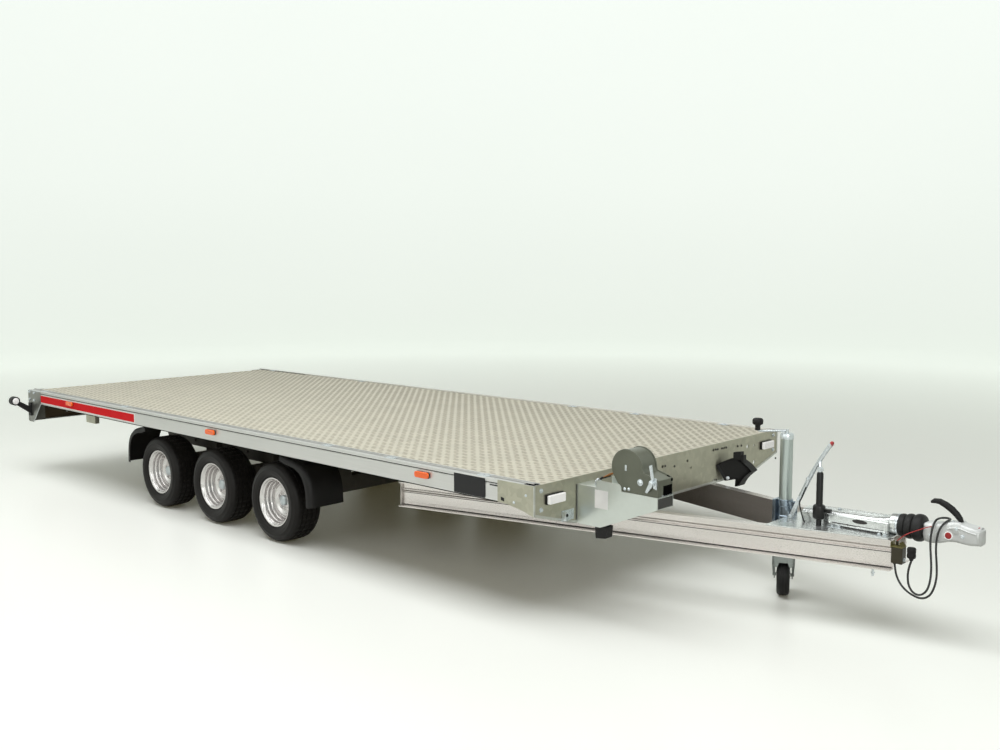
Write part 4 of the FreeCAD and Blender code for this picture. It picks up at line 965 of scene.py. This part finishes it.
def beam_strip(shape, proud, z0, z1, x0=-1285.0, x1=1180.0, start=0.0):
    """A thin strip beside the outer face of a beam's web, on both beams."""
    def web(x, out_by):
        return 65.3 + (1185 - x) * beam_slope + out_by
    for side in (-1, 1):
        shape.prism([(x0, side * web(x0, start), z0), (x1, side * web(x1, start), z0),
                     (x1, side * web(x1, proud), z0), (x0, side * web(x0, proud), z0)], (0, 0, z1 - z0))


# Thin dark strips along the webs, above the lower flange, a third of the way down and under the upper
# flange: painted shade.
shade_strips = Shape()
beam_strip(shade_strips, 0.8, beam_low.z + 5, beam_low.z + 9)
beam_strip(shade_strips, 0.8, beam_high.z - 63, beam_high.z - 60)
beam_strip(shade_strips, 0.8, beam_high.z - 9, beam_high.z - 5)
shade_strips.piece("beam_shade_strips", dark_cast_and_shade, slot="underframe")
# Dark streaked sheets just inside the beams' webs, on their inner faces: painted shade.
inner_shade_sides = Shape()
beam_strip(inner_shade_sides, -6.1, beam_low.z + 1, beam_high.z - 1, -1240.0, 560.0, -5.5)
inner_shade_sides.piece("beam_inner_shade_sides", beam_painted_shade, slot="underframe")
ridges = Shape()
beam_strip(ridges, 3.0, beam_low.z + 20, beam_low.z + 25)
for side in (-1, 1):
    ridges.prism([(-1288, side * 698, beam_low.z + 6), (-1288, side * 716, beam_low.z + 6),
                  (-1288, side * 716, beam_high.z - 6), (-1288, side * 698, beam_high.z - 6)], (5, 0, 0))
ridges.piece("beam_ridges", beam_reflection_zinc, slot="galvanised", bevel=1.0)

# Wheel chock: two ends joined by curved faces, with a hollow dark side and bevelled edges.
chock_foot = Vector((2, 405))
chock_tip = Vector((108, 600))
chock_rim = [(0.0, 520), (0.16, 537), (0.4, 552), (0.5, 556), (0.6, 546), (0.7, 532), (0.8, 516),
             (0.9, 496), (1.0, 471), (0.9, 458), (0.82, 446), (0.74, 430), (0.68, 412), (0.64, 396),
             (0.54, 396), (0.55, 436), (0.26, 431), (0.13, 476)]


def chock_point(share, z):
    """A point of the chock's slanted face, by its share of the way from foot to tip."""
    spot = chock_foot.lerp(chock_tip, share)
    return Vector((spot.x, spot.y, z))


chock = Shape()
chock.prism([chock_point(*point) for point in chock_rim], (0, 68, 0))
chock.bm.faces.ensure_lookup_table()
bmesh.ops.recalc_face_normals(chock.bm, faces=chock.bm.faces[:])
bmesh.ops.inset_region(chock.bm, faces=[chock.bm.faces[0]], thickness=5, depth=0)
chock.bm.faces.ensure_lookup_table()
bmesh.ops.translate(chock.bm, verts=chock.bm.faces[0].verts[:], vec=(-4, 24, 0))
for block, depth in ((((0.48, 548), (0.69, 540), (0.69, 585), (0.48, 586)), 34),
                     (((0.69, 534), (0.77, 524), (0.77, 566), (0.69, 566)), 30)):
    chock.prism([chock_point(*point) for point in block], (0, depth, 0))
chock.piece("chock_body", black_plastic, slot="black_plastic", bevel=1.6, replaces=("wheel_chock",),
            angle=25)
chock_bolt = Shape()
chock_bolt.bolt(chock_point(0.34, 447) + Vector((2, -2, 0)), (0.5, -0.8, 0), 9)
chock_bolt.piece("chock_bolt", zinc, slot="zinc")


# Jockey wheel: clamp with its ears and bolt, tube cap, crank, fork and tyre.
post = Vector((601, 60, 0))
clamp_low, clamp_high = low_high("jockey_clamp")
clamp = Shape()
clamp.lathe([(30.3, 0), (37, 0), (37, 30), (34, 34), (34, 74), (37, 78), (37, 108), (30.3, 108)],
            (post.x, post.y, clamp_low.z), (0, 0, 1), 32)
clamp.block((post.x - 45, post.x - 30), (post.y - 42, post.y + 42), (clamp_low.z, clamp_high.z))
for ear_low, ear_high in ((-10, -3), (3, 10)):
    clamp.block((post.x + 30, post.x + 59), (post.y + ear_low, post.y + ear_high),
                (clamp_low.z + 8, clamp_high.z - 6))
clamp.rod((post.x + 45, post.y - 26, clamp_low.z + 70), (post.x + 45, post.y + 24, clamp_low.z + 70), 6)
clamp.tube([(post.x + 45, post.y - 26, clamp_low.z + 70), (post.x + 45, post.y - 34, clamp_low.z + 92),
            (post.x + 44, post.y - 40, clamp_low.z + 106)], 5, 10)
clamp.piece("jockey_clamp_parts", clamp_zinc, slot="zinc", bevel=1.2, replaces=("jockey_clamp",))

tube_low, tube_high = low_high("jockey_tube")
cap = Shape()
cap.lathe([(30.2, 0), (32, 0), (32, 22), (29, 28), (10, 28.5), (10, 24), (30.2, 22)],
          (post.x, post.y, tube_high.z - 24), (0, 0, 1), 32)
cap.lathe([(30.2, 0), (31.8, 0), (31.8, 9), (30.2, 9)], (post.x, post.y, tube_low.z + 1), (0, 0, 1), 32)
cap.piece("jockey_tube_cap", zinc, slot="zinc")

crank_turn = math.radians(-136.6)
way = Vector((math.cos(crank_turn), math.sin(crank_turn), 0))
crank_foot = Vector((post.x, post.y, tube_high.z))
crank = Shape()
crank.rod(crank_foot, crank_foot + Vector((0, 0, 22)), 9)
crank.tube([crank_foot + Vector((0, 0, up)) + way * along
            for up, along in ((15, -6), (15, 60), (15, 128), (24, 140))], 6, 12)
crank.piece("jockey_crank_arm", zinc, slot="zinc", replaces=("jockey_crank",))
knob = Shape()
knob_foot = crank_foot + Vector((0, 0, 18)) + way * 140
knob.lathe([(0, 0), (12, 0), (13, 4), (12, 14), (13, 24), (22, 28), (25, 32), (25.5, 46), (24, 53),
            (18, 57), (0, 59)], knob_foot, (0, 0, 1), 28, closed=False,
           wave=lambda k, radius: radius - (1.6 if k % 4 == 0 and radius > 20 else 0))
knob.piece("jockey_knob", black_plastic, slot="black_plastic", angle=60)

fork_turn = Matrix.Translation(post) @ Matrix.Rotation(math.radians(117.7), 4, "Z")
fork_top = 215.0
trail = 58.0
wheel_r = 100.0
fork = Shape()
for side in (-1, 1):
    cheek = [(-30, fork_top - 30), (trail - 20, wheel_r - 4), (trail - 14, wheel_r - 16),
             (trail, wheel_r - 21), (trail + 14, wheel_r - 16), (trail + 20, wheel_r - 4),
             (trail + 52, fork_top - 44), (trail + 52, fork_top - 6), (trail + 46, fork_top),
             (-26, fork_top), (-32, fork_top - 6)]
    fork.side_sheet(cheek, side * 39.5, side * 44.5)
    fork.bolt((trail, side * 44.6, wheel_r), (0, side, 0), 8)
    fork.prism([(-32, side * 43, fork_top - 1), (-32, side * 53, fork_top - 3),
                (-31, side * 53, fork_top - 34),
                (trail - 26, side * 49, wheel_r + 2), (trail - 22, side * 43, wheel_r - 2),
                (-28, side * 43, fork_top - 34)], (4, 0, 0))
fork.side_sheet([(-32, fork_top - 5), (trail + 52, fork_top - 5), (trail + 50, fork_top),
                 (-30, fork_top)],
                -40, 40)
fork.rod((trail, -44, wheel_r), (trail, 44, wheel_r), 8)
fork.prism([(-32, -43, fork_top), (-32, 43, fork_top), (-32, 43, fork_top - 52), (-32, 28, fork_top - 56),
            (-32, 20, fork_top - 34), (-32, -20, fork_top - 34), (-32, -28, fork_top - 56),
            (-32, -43, fork_top - 52)], (4, 0, 0))
fork.lathe([(8.5, 0), (34, 0), (34, 5), (29, 9), (8.5, 9)], (0, 0, fork_top - 14.5), (0, 0, 1), 28)
fork.bm.transform(fork_turn)
fork.piece("jockey_fork_plates", fork_zinc, "jockey_fork", slot="galvanised", bevel=1.4,
           replaces=("jockey_fork",))

jockey_tyre = Shape()
jockey_tyre.lathe(both_sides([(100, 5.5), (98.2, 6.5), (98.2, 9), (100, 10), (99, 17), (93, 27), (82, 31),
                              (70, 30.5), (61, 26)]), (trail, 0, wheel_r), (0, 1, 0), 56)
jockey_tyre.bm.transform(fork_turn)
jockey_tyre.piece("jockey_tyre", soft_rubber, "jockey_wheel", slot="rubber", replaces=("jockey_wheel",),
                  angle=40)
jockey_hub = Shape()
jockey_hub.lathe(both_sides([(8.6, 33), (18, 33), (22, 10), (50, 12), (54, 24), (58, 27), (61.2, 25)]),
                 (trail, 0, wheel_r), (0, 1, 0), 40)
jockey_hub.bm.transform(fork_turn)
jockey_hub.piece("jockey_hub", rim_paint, "jockey_wheel", slot="zinc")

# Hand brake: two-plate lever, round upper bar with its grip and red button, and the rod.
lever = Shape()
for y in (-66.2, -58.4):
    lever.side_sheet([(682, 430), (700, 430), (716, 462), (738, 512), (790, 628), (776, 640), (724, 524),
                      (700, 470)], y, y + 4)
lever_y = -60.3
lever.tube([(x, lever_y, z) for x, z in ((742, 540), (790, 645), (832, 722), (862, 770), (884, 802))],
           10, 14)
lever.tube([(834, -62, 716), (841, -76, 704), (848, -88.6, 690)], 6.5, 12)
lever.lathe([(0, -7), (13, -7), (13, 7), (0, 7)], (848, -88.6, 685), (0, 1, 0), 20, closed=False)
for x, z in ((694, 442), (733, 522), (778, 628)):
    lever.bolt((x, -66.4, z), (0, -1, 0), 8)
lever.piece("brake_lever_plates", zinc, slot="zinc", bevel=0.8, replaces=("brake_lever",))
button = Shape()
button.lathe([(0, 0), (9.4, 0), (9.8, 8), (8.5, 17), (5, 21), (0, 22)], (879, lever_y, 794),
             (0.55, 0, 0.83), 20, closed=False)
button.piece("brake_button", red_sheath, slot="red_lens", angle=60)
strut = Shape()
strut_at = Vector((848, -88.6, 0))
strut.lathe([(0, 429.5), (12, 429.5), (12, 456), (24, 461), (28, 468), (28, 514), (24, 522), (16, 525),
             (15, 530), (15, 664), (12, 672), (0, 676)], strut_at, (0, 0, 1), 32, closed=False)
strut.block((852, 898), (-84, -64), (490, 506))
strut.piece("spring_cylinder", black_paint, slot="black_paint", replaces=("gas_strut",), bevel=0.8,
            angle=40)
pull_rod = Shape()
pull_rod.tube([(772, -70, 590), (754, -72, 540), (744, -74, 512), (760, -80, 462), (776, -84, 430)],
              3.2, 10)
pull_rod.piece("brake_rod", black_paint, slot="black_paint")

# Overrun housing: a rounded cover with a raised loop, dark marks painted as shade in the loop's recess,
# along its foot and on the cover's rear end, and flange bolts.
housing_foot = 429.4
tow_line = 474              # height of the overrun tube's axis
shoulder = 26.0               # radius between the sides and the nearly flat crown


def housing_ring(x, half, crown):
    """Section of the cover: straight sides, round shoulders and a flat crown."""
    points = [(-half, housing_foot)] + arc(shoulder - half, crown - shoulder, shoulder,
                                           range(180, 89, -15))
    return [(x, y, z) for y, z in points + [(-y, z) for y, z in reversed(points)]]


housing = Shape()
housing.skin([housing_ring(*section) for section in (      # x, half width, crown
    (745, 50, 484), (790, 54, 490), (900, 54, 495), (1080, 54, 499), (1130, 52, 503), (1150, 46, 510))])
housing.lathe([(30.3, 0), (45, 0), (46, 3), (46, 22), (43, 26), (30.3, 26)],
              (1150, 0, tow_line), (1, 0, 0), 40)
foot_low, foot_high = low_high("overrun_housing")
housing.prism([(foot_low.x, foot_low.y, frame_bottom), (1176, -105, frame_bottom),
               (1176, 105, frame_bottom),
               (foot_low.x, foot_high.y, frame_bottom)], (0, 0, 5))
loop = rounded([(1136, 468), (892, 466), (892, 450), (1136, 452)], 12)
for side in (-1, 1):
    housing.tube([(x, side * 53.6, z) for x, z in loop + [loop[0]]], 4.2, 8, 2)
    housing.block((900, 984), (side * 53, side * 56), (450, 466))
    housing.block((1064, 1128), (side * 53, side * 55.4), (452, 466))
for y in (-34, 0, 34):
    fall = abs(y) * 0.06
    housing.tube([(800, y, 490 - fall), (960, y, 496 - fall), (1120, y, 500 - abs(y) * 0.07)], 3.0, 8)
housing.tube([(1010, -54, 441), (1080, -54, 442), (1146, -52, 443)], 3.2, 8)
housing.piece("overrun_casting", housing_zinc, slot="galvanised", bevel=1.6,
              replaces=("overrun_housing",), angle=38)
# Dark oval and strips: painted shade in the loop's recess, under the loop, along the foot and on the rear
# end.
recess_shade = Shape()
recess_shade.lathe([(0, 0), (1, 0), (1, 1), (0, 1)], (0, 0, 0), (0, -1, 0), 24, closed=False)
bmesh.ops.scale(recess_shade.bm, verts=recess_shade.bm.verts[:], vec=(35, 1, 9))
bmesh.ops.translate(recess_shade.bm, verts=recess_shade.bm.verts[:], vec=(1024, -53.6, 467))
recess_shade.block((896, 1132), (-54.6, -54.0), (443, 447))
recess_shade.block((936, 1126), (-57, -54.2), (429.6, 435))
recess_shade.block((745.2, 748), (-40, 40), (436, 478))
recess_shade.piece("housing_recess_shade", dark_cast_and_shade, slot="black_paint")
housing_bolts = Shape()
for side in (-1, 1):
    for x in (900, 934, 1120, 1148):
        housing_bolts.bolt((x, side * 70, frame_bottom + 5), (0, 0, 1), 9)
    housing_bolts.block((886, 950), (side * 58, side * 84), (frame_bottom + 5, frame_bottom + 7))
housing_bolts.bolt((905, 0, 497), (0, 0, 1), 8)
housing_bolts.lathe([(34, 0), (48, 0), (48, 9), (34, 9)], (1177, 0, tow_line), (1, 0, 0), 40)
housing_bolts.piece("housing_fastenings", zinc, slot="zinc", bevel=0.6)

# Bellows: three round folds that grow towards the coupling, with beads at both ends.
fold = Shape()
fold_profile = [(30.4, 0), (45, 0), (47, 3), (46, 6)]
for start, width, peak in ((7, 30, 50), (37, 33, 55), (70, 46, 60)):
    for a in range(-90, 91, 18):
        bulge = max(0.0, math.cos(math.radians(a))) ** 0.7
        fold_profile.append((42 + (peak - 42) * bulge, start + width / 2 * (1 + math.sin(math.radians(a)))))
fold_profile += [(40, 117), (30.4, 118)]
fold.lathe(fold_profile, (1176.3, 0, tow_line), (1, 0, 0), 48)
fold.piece("bellows_folds", soft_rubber, slot="rubber", replaces=("bellows",), angle=60)

# Coupling: one casting, lofted along its length, with its rear clamp, bolts and indicator.
coupling = Shape()
stations = [  # x, half width, foot, top, corner
    (1296, 30, 440, 504, 10), (1304, 38, 428, 508, 12), (1330, 40, 424, 510, 14),
    (1368, 38, 430, 514, 12), (1398, 34, 440, 524, 14), (1430, 35, 444, 530, 14),
    (1462, 40, 442, 524, 14), (1492, 42, 441, 518, 14), (1512, 40, 443, 515, 14),
    (1526, 33, 445, 512, 12), (1535, 20, 447, 508, 8)]
rings = []
for x, half, foot, top, corner in stations:
    side = half - corner
    centres = [(side, top - corner), (-side, top - corner), (-side, foot + corner), (side, foot + corner)]
    rings.append([(x, y, z) for y, z in rounded(centres, corner)])
coupling.skin(rings)
for side in (-1, 1):
    coupling.tube([(x, side * y, z) for x, y, z in ((1400, 36, 500), (1440, 38, 508), (1485, 43, 500),
                                                    (1515, 40, 494))], 4, 8)
for x, z, radius, half in ((1326, 460, 31, 36.5), (1436, 503, 27, 38)):
    coupling.lathe([(0, -half), (radius - 4, -half), (radius, 4 - half), (radius, half - 4),
                    (radius - 4, half), (0, half)], (x, 0, z), (0, 1, 0), 32, closed=False)
coupling.lathe([(36, 0), (40, 2), (40, 8), (36, 10)], (1518, 0, 479), (1, 0, 0), 32, closed=False)
coupling.piece("coupling_casting", cast, slot="cast", replaces=("coupling_head",), angle=50)
coupling_bits = Shape()
for x, z, y in ((1328, 460, -36.6), (1436, 505, -38.2), (1462, 476, -40.4)):
    coupling_bits.bolt((x, y, z), (0, -1, 0), 8)
coupling_bits.bolt((1409, 0, 523), (0, 0, 1), 8)
coupling_bits.bolt((1326, 38.5, 457), (0, 1, 0), 9)
coupling_bits.piece("coupling_bolts", zinc, slot="zinc")
dial = Shape()
dial.lathe([(0, 0), (17.5, 0), (17.5, 3.4), (0, 3.6)], (1403, -34.0, 470), (0, -1, 0), 28, closed=False)
dial.piece("wear_dial_rim", white_lens, slot="white_lens")
dial_face = Shape()
dial_face.dome((1403, -37.6, 470), (0, -1, 0), 14, 1.6, 24)
dial_face.prism([(1512, -9, 515.5), (1522, -9, 513.5), (1522, 9, 513.5), (1512, 9, 515.5)], (0, 0, 1.2))
dial_face.piece("wear_dial", red_sheath, slot="red_lens", angle=60)

handle = Shape()
grip = [(1443, 527), (1436, 540), (1421, 558), (1400, 576), (1376, 591), (1350, 602), (1328, 602),
        (1314, 595)]
grip_sections = [(8, 11), (12, 13), (14, 13), (15, 13), (14.5, 13), (13, 13), (11, 12), (6, 9)]
rings = []
for index, ((x, z), (thick, half)) in enumerate(zip(grip, grip_sections)):
    ahead = Vector(grip[min(index + 1, 7)]) - Vector(grip[max(index - 1, 0)])
    normal = Vector((-ahead.y, ahead.x)).normalized()
    ring = []
    for a in range(0, 360, 30):
        flat = math.cos(math.radians(a)) * thick
        ring.append((x + normal.x * flat, half * math.sin(math.radians(a)), z + normal.y * flat))
    rings.append(ring)
handle.skin(rings)
for x, z in ((1352, 603), (1428, 550)):
    handle.dome((x, -12.4, z), (0, -1, 0), 4.5, 2.4, 12)
handle.piece("coupling_grip", black_plastic, slot="black_paint", replaces=("coupling_handle",), angle=60)

# Cable box with its olive bracket and glands, and the parked plug.
box_low = low_high("cable_box")[0]
holder = Shape()
holder.block((1186.5, 1189.5), (-104, -62), (392, 417.5))
holder.block((1186.5, 1239), (-104, -62), (397, 400))
holder.prism([(1239, -104, 400), (1239, -62, 400), (1225, -62, 417), (1225, -104, 417)], (-3, 0, 0))
holder.piece("box_bracket", olive_zinc, slot="black_paint", bevel=0.8)
case = Shape()
case.block((1190, 1239.5), (-104.5, -62.5), (box_low.z + 6, 396))
case.rod((1200, -84, box_low.z + 6), (1200, -84, box_low.z - 0.6), 8)
case.rod((1222, -80, box_low.z + 6), (1222, -80, box_low.z - 0.2), 7)
case.rod((1204, -74, 400), (1204, -74, 418.6), 6)
case.piece("cable_box_case", olive_black, slot="black_plastic", bevel=2.4, replaces=("cable_box",))
box_screw = Shape()
box_screw.bolt((1239.8, -84, 344), (1, 0, 0), 8)
box_screw.piece("box_screw", zinc, slot="zinc")
plug_low, plug_high = low_high("tow_plug")
plug_spot = (plug_low + plug_high) / 2
plug = Shape()
tall = plug_high.z - plug_low.z
plug.lathe([(0, 0.5), (7, 0.5), (9, 6), (11, 10), (17, 13), (18.6, 17), (18.6, 30), (17.6, 31),
            (17.6, 35), (18.6, 36), (18.6, tall - 6), (16, tall - 1), (0, tall - 0.5)],
           (plug_spot.x, plug_spot.y, plug_low.z), (0, 0, 1), 32, closed=False,
           wave=lambda k, radius: radius - (0.9 if k % 4 < 2 and radius > 18 else 0))
plug_body = plug.piece("tow_plug_body", black_plastic, slot="black_plastic", replaces=("tow_plug",))


# Studio: pale floor that rises into a backdrop, soft lamps and a pale world.
glow_start = 2.5              # metres from the trailer's middle
glow_full = 20.0
floor_radius = 12.0
wall_radius = 18.0
wall_top = 14.0


def studio():
    """Pale grey-green paint, lit by the lamps, with a glow of its own that grows away from the trailer; the
    faint warm glow near the trailer is painted light in its shadow.
    """
    m = Nodes("studio_white")
    distance = m.add("ShaderNodeVectorMath", operation="LENGTH")
    m.link(m.coords, distance.inputs[0])
    reach = m.add("ShaderNodeMapRange")
    reach.inputs["From Min"].default_value = glow_start
    reach.inputs["From Max"].default_value = glow_full
    m.link(distance.outputs["Value"], reach.inputs["Value"])
    tone = m.ramp(m.noise(0.16, 2.0), (0.88, 0.90, 0.86), (0.94, 0.955, 0.92))
    # Glow by distance: faint and warm near the trailer, painted light that lifts and warms the shadow
    # there; brighter further out for the backdrop.
    far = m.add("ShaderNodeValToRGB")
    far.color_ramp.elements[0].color = (0.03, 0.026, 0.012, 1)
    far.color_ramp.elements[1].color = (0.80, 0.86, 0.82, 1)
    middle = far.color_ramp.elements.new(0.6)
    middle.color = (0.55, 0.605, 0.55, 1)
    m.link(reach.outputs["Result"], far.inputs["Fac"])
    near = m.add("ShaderNodeBsdfPrincipled")
    m.link(tone, near.inputs["Base Color"])
    near.inputs["Roughness"].default_value = 0.32
    near.inputs["IOR"].default_value = 1.32
    glow = m.add("ShaderNodeEmission")
    m.link(far.outputs["Color"], glow.inputs["Color"])
    both = m.add("ShaderNodeAddShader")
    m.link(near.outputs[0], both.inputs[0])
    m.link(glow.outputs[0], both.inputs[1])
    hidden = m.add("ShaderNodeBsdfDiffuse")
    hidden.inputs["Color"].default_value = (0.34, 0.33, 0.29, 1)
    paths = m.add("ShaderNodeLightPath")
    seen = m.add("ShaderNodeMath", operation="MAXIMUM")
    m.link(paths.outputs["Is Camera Ray"], seen.inputs[0])
    m.link(paths.outputs["Is Glossy Ray"], seen.inputs[1])
    seen_too = m.add("ShaderNodeMath", operation="MAXIMUM")
    m.link(seen.outputs[0], seen_too.inputs[0])
    m.link(paths.outputs["Is Transmission Ray"], seen_too.inputs[1])
    lit = m.add("ShaderNodeMixShader")
    m.link(seen_too.outputs[0], lit.inputs[0])
    m.link(hidden.outputs[0], lit.inputs[1])
    m.link(both.outputs[0], lit.inputs[2])
    output = m.add("ShaderNodeOutputMaterial")
    m.link(lit.outputs[0], output.inputs["Surface"])
    return m.material


def floor_and_backdrop():
    """A flat floor with a tall curved wall all round it."""
    sides = 96
    bend = wall_radius - floor_radius
    rings = [(4.0, 0.0), (8.0, 0.0), (floor_radius, 0.0)]
    rings += [(floor_radius + bend * math.sin(a), bend - bend * math.cos(a))
              for a in (0.2, 0.45, 0.75, 1.1, 1.5)]
    rings += [(wall_radius, wall_top)]
    mesh = bpy.data.meshes.new("floor")
    bm = bmesh.new()
    rows = []
    for radius, z in rings:
        rows.append([bm.verts.new((radius * math.cos(2 * math.pi * k / sides),
                                   radius * math.sin(2 * math.pi * k / sides), z))
                     for k in range(sides)])
    bm.faces.new(rows[0])
    for low, high in zip(rows, rows[1:]):
        for k in range(sides):
            n = (k + 1) % sides
            bm.faces.new((low[k], high[k], high[n], low[n]))
    for face in bm.faces:
        face.smooth = True
    bm.to_mesh(mesh)
    bm.free()
    mesh.materials.append(studio())
    floor = bpy.data.objects.new("floor", mesh)
    bpy.context.scene.collection.objects.link(floor)


def area_lamp(name, location, target, size, power, colour=(1, 1, 1)):
    """A soft rectangular lamp that faces its target. Places and sizes are metres."""
    data = bpy.data.lights.new(name, "AREA")
    data.shape = "RECTANGLE"
    data.size, data.size_y = size
    data.energy = power
    data.color = colour
    lamp = bpy.data.objects.new(name, data)
    lamp.location = location
    lamp.rotation_euler = (Vector(target) - Vector(location)).to_track_quat("-Z", "Y").to_euler()
    bpy.context.scene.collection.objects.link(lamp)


floor_and_backdrop()
area_lamp("overhead", (0.3, -1.8, 5.6), (0.2, -0.4, 0.0), (10, 3.8), 410, (0.98, 1.0, 1.0))
area_lamp("side_soft", (-1.0, -8.0, 3.4), (-0.3, 0.0, 0.4), (9, 3), 105)
area_lamp("front_fill", (7.0, -5.0, 3.0), (1.8, -0.6, 0.2), (4, 2.4), 110)
world = bpy.data.worlds.new("studio")
bpy.context.scene.world = world
world.use_nodes = True
world.node_tree.nodes["Background"].inputs["Color"].default_value = (0.96, 0.93, 0.86, 1)
world.node_tree.nodes["Background"].inputs["Strength"].default_value = 0.23

bpy.context.scene.view_settings.view_transform = "Standard"
